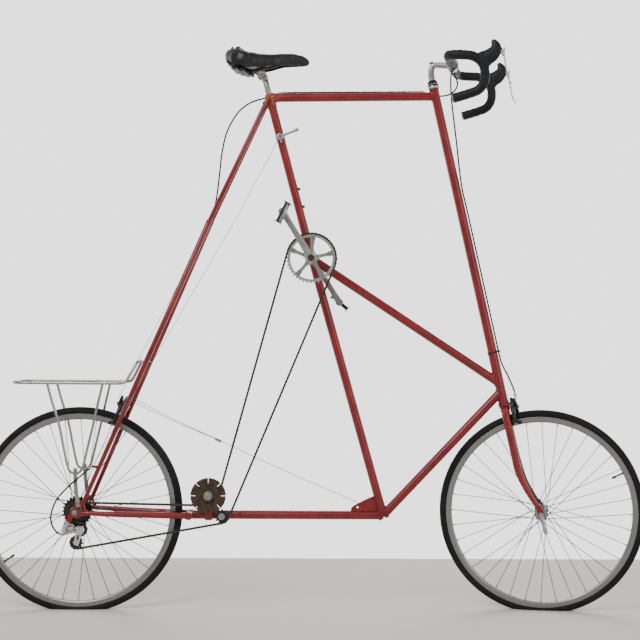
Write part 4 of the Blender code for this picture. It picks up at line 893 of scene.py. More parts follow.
def build_front_axle():
    edge = FRONT_DROPOUT_Y
    shapes = [rod(FRONT - Y_AXIS * (edge + 0.0040), FRONT + Y_AXIS * (edge + 0.0060), 0.0044)]
    for sign in (-1, 1):
        shapes.append(lathe([(0.0044, edge - 0.0002), (0.0082, edge - 0.0004), (0.0082, edge - 0.0040),
                             (0.0068, edge - 0.0048), (0.0066, edge - 0.0100), (0.0044, edge - 0.0105)],
                            FRONT, Y_AXIS * sign, 24))
        shapes.append(lathe([(0.0046, edge + 0.0043), (0.0088, edge + 0.0043), (0.0092, edge + 0.0052),
                             (0.0092, edge + 0.0085), (0.0076, edge + 0.0100), (0.0020, edge + 0.0104)],
                            FRONT, Y_AXIS * sign, 28))
    nut = lathe([(0.0080, edge + 0.0090), (0.0086, edge + 0.0125), (0.0070, edge + 0.0150),
                 (0.0030, edge + 0.0155)], FRONT, Y_AXIS, 6)
    piece("front_axle_ends", merged(*shapes, nut), "steering", M["steel"], "steel", ["front_axle"],
          steered=True, bevel=0.0003)
    cam = FRONT - Y_AXIS * 0.0650
    reach = side(0.29, -0.957)
    path = [cam + reach * d - Y_AXIS * out for d, out in ((-0.0030, 0.0), (0.0060, 0.0), (0.0180, 0.0008),
                                                          (0.0340, 0.0032), (0.0500, 0.0062),
                                                          (0.0600, 0.0080))]
    lever = sweep(smooth_route(path, 0.003), [0.0034, 0.0036, 0.0038, 0.0046, 0.0052, 0.0044], 16, flat=1.5)
    eye = lathe([(0.0030, -0.0042), (0.0056, -0.0040), (0.0060, -0.0030), (0.0060, 0.0030), (0.0056, 0.0040),
                 (0.0030, 0.0042)], cam, Y_AXIS, 28)
    piece("front_qr_handle", merged(lever, eye), "front_qr_lever", M["lever"], "alloy", ["front_qr_lever"],
          steered=True)


# ---------------------------------------------------------------- drive
DRIVE = (
    # centre, teeth, and 1 where the chain turns left round it
    (CRANK, CHAINRING_TEETH, -1),
    (joint_at("tensioner_spin"), TENSIONER_TEETH, -1),
    (joint_at("tension_pulley_spin"), JOCKEY_TEETH, -1),
    (joint_at("guide_pulley_spin"), JOCKEY_TEETH, 1),
    (REAR, COG_TEETH[0], -1),
    (joint_at("idler_spin"), IDLER_TEETH, 1),
)
TENSIONER, TENSION, GUIDE = 1, 2, 3      # their rows in DRIVE


def chain_line():
    """The closed line of the chain as (kind, wheel, length, place) stretches, where place(share)
    gives a point along the stretch."""
    lines = []
    for i, (a, a_teeth, a_way) in enumerate(DRIVE):
        b, b_teeth, b_way = DRIVE[(i + 1) % len(DRIVE)]
        gap = Vector((b.x - a.x, 0, b.z - a.z))
        lift = b_way * pitch_radius(b_teeth) - a_way * pitch_radius(a_teeth)
        turn = math.atan2(gap.z, gap.x) - math.asin(lift / gap.length)
        left = Vector((-math.sin(turn), 0, math.cos(turn)))
        start = in_plane(a) - left * a_way * pitch_radius(a_teeth)
        end = in_plane(b) - left * b_way * pitch_radius(b_teeth)
        lines.append((turn, start, end))
    stretches = []
    for i, (centre, teeth, way) in enumerate(DRIVE):
        turn_in = lines[i - 1][0]
        turn_out, start, end = lines[i]
        swing = (turn_out - turn_in) * way % (2 * math.pi) * way
        radius = pitch_radius(teeth)

        def arc(share, centre=centre, radius=radius, way=way, turn_in=turn_in, swing=swing):
            return polar(centre, radius, turn_in + swing * share - way * math.pi / 2)

        def line(share, start=start, end=end):
            return start.lerp(end, share)

        stretches.append(("wrap", i, abs(swing) * radius, arc))
        stretches.append(("run", i, (end - start).length, line))
    return stretches


def chain_pins():
    """Every pin of the chain as (point, kind, wheel, share of its stretch)."""
    stretches = chain_line()
    total = sum(stretch[2] for stretch in stretches)
    count = 2 * round(total / PITCH / 2)
    pins = []
    for k in range(count):
        run = (k + 0.5) * total / count
        for kind, wheel, length, place in stretches:
            if run <= length:
                spot = place(run / length)
                pins.append((Vector((spot.x, CHAIN_Y, spot.z)), kind, wheel, run))
                break
            run -= length
    return pins


def link_shapes(a, b, outer):
    """One link: two waisted plates, with a roller and a pin at its first end."""
    way = (b - a).normalized()
    up = quarter_turn(way)
    middle = (a + b) / 2
    half = (b - a).length / 2
    near = 0.0024 if outer else 0.0014
    outline = []
    for sign in (1, -1):
        outline.append(middle + up * 0.0031 * sign)
        for turn in (70, 30, -30, -70):
            spot = math.radians(turn)
            outline.append(middle + (way * (half + 0.0041 * math.cos(spot)) + up * 0.0041 * math.sin(spot))
                           * sign)
    shapes = [plate(outline, a.y + y, a.y + y + 0.0009) for y in (near, -near - 0.0009)]
    shapes.append(rod(a - Y_AXIS * 0.0023, a + Y_AXIS * 0.0023, 0.0038, 10, dome=False))
    shapes.append(rod(a - Y_AXIS * 0.0036, a + Y_AXIS * 0.0036, 0.0017, 8, dome=False))
    return shapes


LAST_BEND = 0.090              # the last of the lower run, which swings with the cage


def build_chain():
    """The chain in lengths that follow the derailleur: see the bodies of each."""
    pins = chain_pins()
    lengths = {"fixed": [], "lower": [], "bend": [], "cage": [], "rise": []}
    lower_length = next(s[2] for s in chain_line() if s[:2] == ("run", TENSIONER))
    for k, (spot, kind, wheel, run) in enumerate(pins):
        after = pins[(k + 1) % len(pins)][0]
        where = "fixed"
        if (kind, wheel) == ("run", TENSIONER):
            where = "bend" if run > lower_length - LAST_BEND else "lower"
        elif wheel in (TENSION, GUIDE):
            where = "rise" if (kind, wheel) == ("run", GUIDE) else "cage"
        lengths[where] += link_shapes(spot, after, k % 2 == 0)
    runs = {(s[0], s[1]): s[3] for s in chain_line()}
    lower = runs[("run", TENSIONER)]
    rise = runs[("run", GUIDE)]
    turn_from = lower(1 - LAST_BEND / lower_length)
    blends = {
        "fixed": None,
        "cage": None,
        "lower": ("frame", "derailleur_knuckle", lower(0.0), turn_from),
        "bend": ("derailleur_knuckle", "derailleur_cage", turn_from, lower(1.0)),
        "rise": ("frame", "derailleur_knuckle", rise(1.0), rise(0.0)),
    }
    bodies = {"fixed": "frame", "cage": "derailleur_cage"}
    for where, shapes in lengths.items():
        piece(f"chain_{where}", merged(*shapes), bodies.get(where), M["chain"], "chain_steel",
              ["chain"] if where == "fixed" else (), blend=blends[where])


def laid(shape, origin, x_way, y_way):
    """Moves a shape drawn round the origin so that its x and y run along these directions."""
    z_way = x_way.cross(y_way)
    shape.transform(Matrix.Translation(origin) @ Matrix((x_way, y_way, z_way)).transposed().to_4x4())
    return shape


CRANK_ANGLE = {sign: math.atan2(*(joint_at(f"pedal_{name}_spin") - CRANK).zx)
               for sign, name in ((-1, "right"), (1, "left"))}


def crank_arm(sign, end):
    """A slim forged arm, swelling at the boss and at the pedal's eye."""
    y = sign * 0.0680
    start = CRANK + Y_AXIS * y
    way = (Vector((end.x, y, end.z)) - start)
    across = quarter_turn(way).normalized()
    marks = [start + way * share for share in (0.0, 0.06, 0.14, 0.30, 0.50, 0.70, 0.86, 0.95, 1.0)]
    arm = sweep(marks, [0.0162, 0.0158, 0.0118, 0.0105, 0.0100, 0.0096, 0.0098, 0.0112, 0.0118], 32,
                flat=0.50, start=across, square=0.62)
    eye = lathe([(0.0062, 0.0612), (0.0118, 0.0614), (0.0126, 0.0626), (0.0126, 0.0730), (0.0116, 0.0742),
                 (0.0062, 0.0744)], in_plane(end), Y_AXIS * sign, 40)
    boss = lathe([(0.0080, 0.0500), (0.0152, 0.0505), (0.0164, 0.0540), (0.0166, 0.0720), (0.0158, 0.0744),
                  (0.0108, 0.0752), (0.0104, 0.0735), (0.0040, 0.0730)], CRANK, Y_AXIS * sign, 48)
    return merged(arm, eye, boss)


BOLT_CIRCLE = 0.0655


def spider_turn(k):
    """The direction of one of the spider's five arms."""
    return CRANK_ANGLE[-1] + math.radians(36 + 72 * k)


def spider_shape():
    """Five arms from the right boss to square seats for the chainring's bolts."""
    shapes = []
    for k in range(5):
        turn = spider_turn(k)
        way = pointing(turn)
        across = quarter_turn(way)
        half = ((0.010, 0.0120), (0.020, 0.0072), (0.032, 0.0056), (0.046, 0.0056), (0.055, 0.0068),
                (0.0590, 0.0082), (0.0700, 0.0086), (0.0728, 0.0068))
        outline = [CRANK + way * r + across * w for r, w in half]
        outline += [CRANK + way * r - across * w for r, w in half[::-1]]
        shapes.append(plate(outline, -0.0530, -0.0485))
    shapes.append(lathe([(0.0100, -0.0540), (0.0190, -0.0540), (0.0215, -0.0520), (0.0215, -0.0490),
                         (0.0100, -0.0485)], CRANK, Y_AXIS, 48))
    return merged(*shapes)


def build_crankset():
    ends = {-1: joint_at("pedal_right_spin"), 1: joint_at("pedal_left_spin")}
    for sign, name in ((-1, "right"), (1, "left")):
        piece(f"crank_arm_{name}", crank_arm(sign, ends[sign]), "crank", M["alloy"], "alloy",
              [f"crank_{name}"])
        cap = lathe([(0.0110, 0.0735), (0.0108, 0.0764), (0.0098, 0.0776), (0.0080, 0.0777), (0.0074, 0.0770),
                     (0.0003, 0.0768)],
                    CRANK, Y_AXIS * sign, 32)
        piece(f"crank_cap_{name}", cap, "crank", M["rust"] if sign < 0 else M["black"], "rusty_steel")
        end = in_plane(ends[sign])
        spindle = [(0.0088, 0.0744), (0.0088, 0.0778), (0.0060, 0.0790), (0.0048, 0.0800), (0.0046, 0.1490),
                   (0.0030, 0.1500)]
        hole = [(0.0060, 0.0610), (0.0058, 0.0606), (0.0030, 0.0608)]
        piece(f"pedal_spindle_{name}", merged(lathe(spindle, end, Y_AXIS * sign, 24),
                                              lathe(hole, end, Y_AXIS * sign, 24)),
              "crank", M["steel"], "steel")
        build_pedal(name, ends[sign], sign)
    piece("crank_spider", spider_shape(), "crank", M["alloy"], "alloy", bevel=0.0009)
    inner = [polar(CRANK, 0.0690 - (0.0055 if abs((k % 24) - 12) > 10 else 0.0), CRANK_ANGLE[-1]
                   + math.radians(36) + 2 * math.pi * k / 120) for k in range(120)]
    ring = plate(sprocket(CRANK, CHAINRING_TEETH, math.radians(4)), CHAIN_Y - 0.0011, CHAIN_Y + 0.0011,
                 [inner])
    piece("chainring_toothed", ring, "crank", M["lever"], "alloy", ["chainring"], bevel=0.0003)
    bolts = []
    for k in range(5):
        spot = polar(CRANK, BOLT_CIRCLE, spider_turn(k))
        bolts.append(lathe([(0.0058, 0.0530), (0.0060, 0.0540), (0.0050, 0.0548), (0.0030, 0.0549),
                            (0.0028, 0.0535)], spot, -Y_AXIS, 24))
        bolts.append(lathe([(0.0052, 0.0475), (0.0060, 0.0456), (0.0050, 0.0448), (0.0022, 0.0447)], spot,
                           -Y_AXIS, 24))
    piece("chainring_bolts", merged(*bolts), "crank", M["steel"], "steel")
    spindle = lathe([(0.0078, -0.0505), (0.0080, -0.0480), (0.0080, 0.0505), (0.0078, 0.0515)], CRANK, Y_AXIS,
                    28)
    piece("crank_spindle", spindle, "crank", M["steel"], "steel")
    cups = []
    for sign in (-1, 1):
        cups.append(lathe([(0.0092, 0.0372), (0.0150, 0.0376), (0.0172, 0.0368), (0.0195, 0.0366),
                           (0.0197, 0.0343), (0.0172, 0.0340)], CRANK, Y_AXIS * sign, 12 if sign > 0 else 8))
    piece("bottom_bracket_cups", merged(*cups), "frame", M["steel"], "steel", ["bottom_bracket"],
          bevel=0.0004)


TILT = {"right": math.radians(64), "left": math.radians(-40)}


def toothed_edge(near, far, height, teeth=9, depth=0.0026):
    """The outline of a pedal's side plate: saw teeth along both long edges."""
    step = (far - near) / teeth
    top = []
    for k in range(teeth):
        start = near + step * k
        top += [(start + step * 0.10, height - depth), (start + step * 0.42, height),
                (start + step * 0.58, height), (start + step * 0.90, height - depth)]
    return [(x, 0, z) for x, z in top] + [(x, 0, -z) for x, z in top[::-1]]


def build_pedal(name, centre, sign):
    along = pointing(TILT[name])
    up = quarter_turn(along)
    middle = in_plane(centre)
    out = Y_AXIS * sign
    near, far = 0.0820, 0.1615
    cage = []
    for end in (-1, 1):
        outline = toothed_edge(near, far, 0.0115)
        window = [(near + 0.010, 0, -0.0035), (far - 0.010, 0, -0.0035), (far - 0.010, 0, 0.0035),
                  (near + 0.010, 0, 0.0035)]
        side_plate = plate([Vector(p) for p in outline], -0.0011, 0.0011, [[Vector(p) for p in window]])
        cage.append(laid(side_plate, middle + along * end * 0.0340, out, along * (1 if sign > 0 else -1)))
    hoop = [(-0.0340, near + 0.003), (-0.0335, near - 0.0005), (-0.020, near - 0.0010),
            (0.020, near - 0.0010),
            (0.0335, near - 0.0005), (0.0340, near + 0.003)]
    outer = [(-0.0340, far - 0.004), (-0.0325, far - 0.0005), (-0.018, far + 0.0004), (0.018, far + 0.0004),
             (0.0325, far - 0.0005), (0.0340, far - 0.004)]
    for path, height in ((hoop, 0.0060), (outer, 0.0042)):
        line = smooth_route([middle + along * a + out * b for a, b in path], 0.003)
        cage.append(sweep(line, height, 16, flat=0.13, start=up, dome=False, square=0.5))
    piece(f"pedal_cage_{name}", merged(*cage), f"pedal_{name}", M["black"], "black_metal",
          [f"pedal_{name}"], bevel=0.0004)
    barrel = lathe([(0.0056, near - 0.0010), (0.0124, near), (0.0128, near + 0.004), (0.0112, near + 0.010),
                    (0.0094, near + 0.030), (0.0100, far - 0.026), (0.0122, far - 0.014),
                    (0.0126, far - 0.004),
                    (0.0112, far - 0.0015), (0.0106, far), (0.0020, far + 0.0006)], middle, out, 32)
    ribs = [rod(middle + out * y - along * 0.0330, middle + out * y + along * 0.0330, 0.0048, 16, flat=0.5,
                start=up) for y in (near + 0.006, far - 0.009)]
    piece(f"pedal_barrel_{name}", merged(barrel, *ribs), f"pedal_{name}", M["alloy"], "alloy")


def build_freewheel():
    cogs = []
    for k, teeth in enumerate(COG_TEETH):
        middle = CHAIN_Y + k * 0.0050
        hole = circle(REAR, 0.0190, 24)
        cogs.append(plate(sprocket(REAR, teeth, 0.1 * k, 0.9), middle - 0.00095, middle + 0.00095, [hole]))
    piece("freewheel_cogs", merged(*cogs), "freewheel", M["cog"], "black_metal", ["freewheel"], bevel=0.0002)
    body = lathe([(0.0125, -0.0520), (0.0185, -0.0518), (0.0205, -0.0500), (0.0205, -0.0240),
                  (0.0160, -0.0228),
                  (0.0120, -0.0226)], REAR)
    ring = lathe([(0.0080, -0.0515), (0.0150, -0.0532), (0.0172, -0.0528), (0.0176, -0.0515)], REAR, Y_AXIS,
                 20)
    piece("freewheel_core", merged(body, ring), "freewheel", M["steel"], "steel")


def slotted_disc(centre, radius=0.0575):
    """A disc with eight open slots cut in from its rim, worn uneven along its edge."""
    outline = []
    half, root = 0.0009, 0.0410
    for k in range(8):
        turn = math.radians(90 + 45 * k)
        way = pointing(turn)
        across = quarter_turn(way)
        for r, w in ((radius, -half * 1.5), (radius - 0.0022, -half), (root + 0.0015, -half),
                     (root, -half * 0.5),
                     (root, half * 0.5), (root + 0.0015, half), (radius - 0.0022, half),
                     (radius, half * 1.5)):
            outline.append(centre + way * r + across * w)
        for j in range(1, 8):
            outline.append(polar(centre, radius + 0.0003 * math.sin(5.1 * k + 2.3 * j),
                                 turn + math.radians(3.5 + 38 * j / 8)))
    return outline


def build_idler():
    centre = joint_at("idler_spin")
    flat = in_plane(centre)
    disc = plate(slotted_disc(flat), -0.0546, -0.0528, [circle(flat, 0.0060, 20)])
    rib = lathe([(0.0215, -0.0560), (0.0240, -0.0566), (0.0262, -0.0560), (0.0262, -0.0545),
                 (0.0215, -0.0545)],
                flat, Y_AXIS, 48, closed=True)
    teeth = plate(sprocket(flat, IDLER_TEETH, 0.05), CHAIN_Y - 0.0010, CHAIN_Y + 0.0010,
                  [circle(flat, 0.0100, 20)])
    piece("idler_disc", merged(disc, rib), "idler", M["rust"], "rusty_steel", ["idler_sprocket"],
          bevel=0.0004)
    piece("idler_teeth", teeth, "idler", M["cog"], "chain_steel", bevel=0.0002)
    boss = lathe([(0.0062, -0.0632), (0.0135, -0.0634), (0.0150, -0.0622), (0.0155, -0.0600),
                  (0.0155, -0.0430),
                  (0.0140, -0.0420), (0.0062, -0.0420)], flat, Y_AXIS, 40)
    pin = lathe([(0.0024, 0.0628), (0.0030, 0.0640), (0.0022, 0.0650), (0.0008, 0.0651)],
                flat + Vector((0.0096, 0, -0.0050)), -Y_AXIS, 16)
    piece("idler_boss", merged(boss, pin), "idler", M["clamp"], "steel")
    centre = joint_at("tensioner_spin")
    flat = in_plane(centre)
    wheel = plate(sprocket(flat, TENSIONER_TEETH, 0.1), CHAIN_Y - 0.0010, CHAIN_Y + 0.0010,
                  [circle(flat, 0.0056, 20)])
    hub = lathe([(0.0054, -0.0525), (0.0105, -0.0520), (0.0115, -0.0500), (0.0115, -0.0435),
                 (0.0100, -0.0415),
                 (0.0054, -0.0412)], flat, Y_AXIS, 32)
    piece("tensioner_wheel", merged(wheel, hub), "tensioner", M["black"], "black_metal",
          ["tensioner_pulley"], bevel=0.0003)


HANGER = REAR + Vector((-0.0234, 0, -0.0324))
LINK = joint_at("derailleur_link_swing")
KNUCKLE = at(0.0075, 0.2880, -0.0700)


def jockey(name, centre, body):
    flat = in_plane(centre)
    holes = [circle(polar(flat, 0.0092, math.radians(72 * k)), 0.0022, 10) for k in range(5)]
    wheel = plate(sprocket(flat, JOCKEY_TEETH, 0.2, 0.85), CHAIN_Y - 0.0018, CHAIN_Y + 0.0018,
                  [circle(flat, 0.0032, 16), *holes])
    hub = lathe([(0.0031, -0.0045), (0.0058, -0.0043), (0.0062, -0.0020), (0.0062, 0.0020), (0.0058, 0.0043),
                 (0.0031, 0.0045)], flat + Y_AXIS * CHAIN_Y, Y_AXIS, 24)
    piece(f"{name}_wheel", merged(wheel, hub), body, M["black"], "black_metal", [name], bevel=0.0003)


def build_derailleur():
    """A plain touring derailleur: hanger bolt, parallelogram, knuckle with spring case, cage."""
    bolt = merged(lathe([(0.0068, 0.0676), (0.0092, 0.0680), (0.0098, 0.0700), (0.0098, 0.0770),
                         (0.0084, 0.0800), (0.0058, 0.0806), (0.0054, 0.0790), (0.0032, 0.0785)],
                        HANGER, -Y_AXIS, 36),
                  hexagon(HANGER - Y_AXIS * 0.0780, -Y_AXIS, 0.0095, 0.0048, 0.1))
    foot = LINK - Y_AXIS * 0.0145
    arm = sweep(smooth_route([HANGER - Y_AXIS * 0.0740,
                              (HANGER - Y_AXIS * 0.0745 + foot) / 2 + Vector((-0.003, 0, 0)),
                              foot], 0.003), [0.0098, 0.0092, 0.0088], 20, flat=0.8, square=0.8)
    lug = lathe([(0.0030, -0.0175), (0.0062, -0.0170), (0.0068, -0.0150), (0.0068, 0.0005), (0.0060, 0.0012),
                 (0.0030, 0.0014)], LINK, Y_AXIS, 28)
    screws = [lathe([(0.0022, 0.0), (0.0022, 0.0090), (0.0034, 0.0094), (0.0034, 0.0110), (0.0012, 0.0113)],
                    foot + Vector((0.0035 - 0.0065 * k, -0.001, -0.003)), side(-0.5, -0.86), 14)
              for k in range(2)]
    piece("derailleur_body_forged", merged(bolt, arm), "frame", M["chrome"], "chrome", ["derailleur_body"])
    piece("derailleur_screws", merged(*screws), "frame", M["brass"], "steel")
    way = (KNUCKLE - LINK).normalized()
    up = way.cross(Y_AXIS).normalized()
    links = []
    for drop, height in ((-0.0070, 0.0062), (0.0070, 0.0068)):
        line = [LINK + up * drop + way * 0.001, LINK.lerp(KNUCKLE, 0.5) + up * drop * 1.05,
                KNUCKLE + up * drop - way * 0.0075]
        links.append(sweep(smooth_route(line, 0.004), height, 16, flat=1.9, start=up, square=0.7))
    spring = []
    for k in range(73):
        turn = 2 * math.pi * k / 12
        spring.append(LINK.lerp(KNUCKLE, 0.14 + 0.62 * k / 72) + (up * math.cos(turn)
                                                                + Y_AXIS * math.sin(turn)) * 0.0018)
    links.append(sweep(spring, 0.0005, 6))
    clamp = merged(*links, lug,
                   hexagon(LINK.lerp(KNUCKLE, 0.42) + up * 0.0052, up, 0.0080, 0.0042, 0.3))
    piece("derailleur_links", clamp, "derailleur_link", M["chrome"], "chrome", ["derailleur_link"])
    guide = in_plane(joint_at("guide_pulley_spin"))
    case = lathe([(0.0060, -0.0538), (0.0142, -0.0540), (0.0158, -0.0556), (0.0160, -0.0650),
                  (0.0148, -0.0676),
                  (0.0112, -0.0686), (0.0076, -0.0682), (0.0058, -0.0694), (0.0015, -0.0697)], guide, Y_AXIS,
                 40)
    ear = sweep(smooth_route([guide - Y_AXIS * 0.0620 + Vector((-0.002, 0, 0.002)),
                              (guide - Y_AXIS * 0.066 + KNUCKLE) / 2, KNUCKLE], 0.003),
                [0.0070, 0.0062, 0.0060],
                20, flat=0.85)
    pivot = lathe([(0.0015, 0.0025), (0.0048, 0.0028), (0.0055, 0.0010), (0.0055, -0.0040), (0.0042, -0.0058),
                   (0.0015, -0.0060)], KNUCKLE, -Y_AXIS, 24)
    piece("derailleur_knuckle_case", merged(case, ear, pivot), "derailleur_knuckle", M["chrome"], "chrome",
          ["derailleur_knuckle"])
    build_cage()


def build_cage():
    guide, tension = joint_at("guide_pulley_spin"), joint_at("tension_pulley_spin")
    guide, tension = (in_plane(p) for p in (guide, tension))
    way = (tension - guide).normalized()
    across = quarter_turn(way)
    window = capsule(guide + way * 0.0130, tension - way * 0.0120, 0.0030, 0.0026, 5)
    shapes = []
    for near, far in ((-0.0067, -0.0052), (0.0050, 0.0063)):
        outline = capsule(guide, tension, 0.0102, 0.0092, 8)
        shapes.append(plate(outline, CHAIN_Y + near, CHAIN_Y + far, [window]))
    shapes += [rod(p + Y_AXIS * (CHAIN_Y - 0.0060), p + Y_AXIS * (CHAIN_Y + 0.0060), 0.0028, 14)
               for p in (guide, tension)]
    shapes += [hexagon(tension + Y_AXIS * (CHAIN_Y - 0.0066), -Y_AXIS, 0.0080, 0.0030, 0.2),
               hexagon(guide + Y_AXIS * (CHAIN_Y + 0.0062), Y_AXIS, 0.0080, 0.0028, 0.5)]
    guard = tension - across * 0.0105 + way * 0.002
    shapes.append(rod(guard + Y_AXIS * (CHAIN_Y - 0.0060), guard + Y_AXIS * (CHAIN_Y + 0.0058), 0.0016, 10))
    piece("derailleur_cage_plates", merged(*shapes), "derailleur_cage", M["chrome"], "steel",
          ["derailleur_cage"], bevel=0.0003)
    jockey("guide_pulley", guide, "guide_pulley")
    jockey("tension_pulley", tension, "tension_pulley")


# ---------------------------------------------------------------- fork
CROWN = HEAD_LENGTH + 0.0225
AXLE_DOWN = (FRONT - HEAD_TOP).dot(DOWN)
RAKE = (FRONT - HEAD_TOP).dot(FORWARD)


def blade_path(sign):
    straight = 1.2800
    path = [on_head(CROWN - 0.004, y=sign * 0.0300), on_head(CROWN + 0.05, y=sign * 0.0322)]
    for k in range(15):
        share = k / 14
        down = straight + (AXLE_DOWN - 0.0120 - straight) * share
        spread_y = 0.0300 + 0.0190 * (down - CROWN) / (AXLE_DOWN - CROWN)
        path.append(on_head(down, RAKE * share ** 1.5, sign * spread_y))
    return path


def build_fork():
    shapes = []
    shapes.append(lathe([(0.0125, HEAD_LENGTH + 0.0098), (0.0176, HEAD_LENGTH + 0.0100),
                         (0.0188, HEAD_LENGTH + 0.0115), (0.0184, HEAD_LENGTH + 0.0140),
                         (0.0158, HEAD_LENGTH + 0.0165), (0.0150, CROWN + 0.006)], on_head(0), DOWN))
    crown = [on_head(CROWN + 0.0050, y=-0.0330), on_head(CROWN + 0.0010, y=-0.0200), on_head(CROWN - 0.0008),
             on_head(CROWN + 0.0010, y=0.0200), on_head(CROWN + 0.0050, y=0.0330)]
    shapes.append(sweep(smooth_route(crown, 0.004), [0.0098, 0.0120, 0.0135, 0.0120, 0.0098], 28,
                        start=FORWARD,
                        flat=0.86, square=0.85))
    for sign in (-1, 1):
        path = blade_path(sign)
        shapes.append(sweep(path, [0.0128, 0.0122, 0.0110, 0.0100, 0.0090, 0.0080, 0.0070], 28, start=FORWARD,
                            flat=0.86))
        shapes.append(weld_bead(path[0] + DOWN * 0.018, path[1] - path[0], 0.0124,
                                (on_head(CROWN, y=-0.04), on_head(CROWN, y=0.04)), 0.0102, 0.0018))
        inner = sign * FRONT_DROPOUT_Y
        tip = capsule(Vector((FRONT.x - 0.0085, 0, 0.3620)), FRONT, 0.0076, 0.0112, 8)
        slot = capsule(FRONT, FRONT + Vector((0.0030, 0, -0.0060)), 0.0047, 0.0047, 6)
        shapes.append(plate(tip, inner, inner + sign * 0.0042, [slot]))
        join = path[-1]
        shapes.append(sweep([join,
                             join + (FRONT - join) * 0.35 + Y_AXIS * (inner + sign * 0.002 - join.y) * 0.5,
                             Vector((FRONT.x - 0.004, inner + sign * 0.002, 0.3480))],
                            [0.0070, 0.0058, 0.0030], 20, flat=0.8))
    piece("fork_painted", merged(*shapes), "steering", M["paint"], "red_paint", ["fork"], steered=True,
          bevel=0.0005)


# ---------------------------------------------------------------- bars and levers
def by_clamp(x, z, y=0.0):
    """A point of the bars, measured from the middle of the stem's clamp."""
    return at(CLAMP[0] + x, CLAMP[1] + z, y)


BAR = ((0.0, 0.170, 0.0), (0.006, 0.194, -0.0005), (0.024, 0.207, -0.002), (0.048, 0.210, -0.003),
       (0.075, 0.210, -0.006), (0.099, 0.210, -0.018), (0.114, 0.210, -0.038), (0.119, 0.210, -0.064),
       (0.115, 0.210, -0.092), (0.098, 0.210, -0.114), (0.064, 0.210, -0.127), (0.020, 0.210, -0.1395))


def bar_side(sign, start=0.048):
    """One half of the bar's centre line, outwards from where its tape starts."""
    half = [by_clamp(0, 0, sign * start), by_clamp(0, 0, sign * 0.110)]
    return smooth_route(half + [by_clamp(x, z, sign * y) for x, y, z in BAR], 0.005)


def tape_ripple(run, turn):
    """Overlapping turns of tape, each with a thin raised edge."""
    share = (run / 0.0195 + turn / (2 * math.pi)) % 1.0
    return 0.00075 * share - (0.0007 if share < 0.10 else 0.0)


def build_bars():
    core = rod(by_clamp(0, 0, -0.0640), by_clamp(0, 0, 0.0640), 0.0124, 32)
    sleeve = lathe([(0.0124, -0.0260), (0.0129, -0.0255), (0.0131, 0.0255), (0.0124, 0.0260)], by_clamp(0, 0))
    piece("bar_core", merged(core, sleeve), "steering", M["alloy"], "alloy", steered=True)
    tapes, plugs, bands = [], [], []
    for sign in (-1, 1):
        path = bar_side(sign)
        tapes.append(sweep(path, [BAR_RADIUS - 0.0002] * 2, 32, ripple=tape_ripple, dome=False))
        end, before = path[-1], path[-4]
        way = (end - before).normalized()
        plugs.append(lathe([(0.0110, -0.004), (0.0130, -0.0008), (0.0150, 0.0002), (0.0152, 0.0022),
                            (0.0132, 0.0044), (0.0044, 0.0052), (0.0006, 0.0051)], end, way, 32))
        bands.append(lathe([(BAR_RADIUS - 0.0004, -0.009), (BAR_RADIUS + 0.0006, -0.008),
                            (BAR_RADIUS + 0.0007, 0.008), (BAR_RADIUS - 0.0004, 0.009)], path[1],
                           Y_AXIS * sign, 32))
    piece("bar_tape_wound", merged(*tapes), "steering", M["tape"], "bar_tape", ["handlebar"], steered=True,
          sharp=60)
    piece("bar_end_plugs", merged(*plugs), "steering", M["rim"], "rim_alloy", steered=True)
    piece("bar_tape_bands", merged(*bands), "steering", M["cable"], "cable_black", steered=True)


def build_stem():
    elbow = on_head(-0.0790, 0.0070)
    clamp = by_clamp(0, 0)
    way = (clamp - elbow).normalized()
    path = [on_head(0.1150), on_head(0.02), on_head(-0.03), on_head(-0.056, 0.0030),
            on_head(-0.0715, 0.0060) + way * 0.004,
            elbow + way * 0.014, elbow.lerp(clamp, 0.55), clamp - way * 0.014]
    body = sweep(smooth_route(path, 0.004), [0.0104, 0.0104, 0.0104, 0.0104, 0.0108, 0.0106, 0.0098, 0.0116],
                 32,
                 start=Y_AXIS)
    ring = lathe([(0.0126, -0.0200), (0.0182, -0.0200), (0.0200, -0.0180), (0.0206, 0.0), (0.0200, 0.0180),
                  (0.0182, 0.0200), (0.0126, 0.0200)], clamp, Y_AXIS, 48, closed=True)
    lug = rod(clamp + Vector((-0.0060, -0.0110, -0.0175)), clamp + Vector((-0.0060, 0.0110, -0.0175)), 0.0062,
              24)
    top = lathe([(0.0050, 0.0), (0.0084, 0.0006), (0.0088, 0.0030), (0.0076, 0.0052), (0.0048, 0.0056),
                 (0.0044, 0.0030), (0.0010, 0.0028)], elbow + UP * 0.0052 + way * 0.0030, UP, 32)
    piece("stem_forged", merged(body, ring, lug, top), "steering", M["alloy"], "alloy", ["stem"],
          steered=True)
    bolt = merged(hexagon(clamp + Vector((-0.0060, -0.0108, -0.0175)), -Y_AXIS, 0.0098, 0.0050),
                  hexagon(clamp + Vector((-0.0060, 0.0108, -0.0175)), Y_AXIS, 0.0098, 0.0050))
    piece("stem_bolt", bolt, "steering", M["steel"], "steel", steered=True)


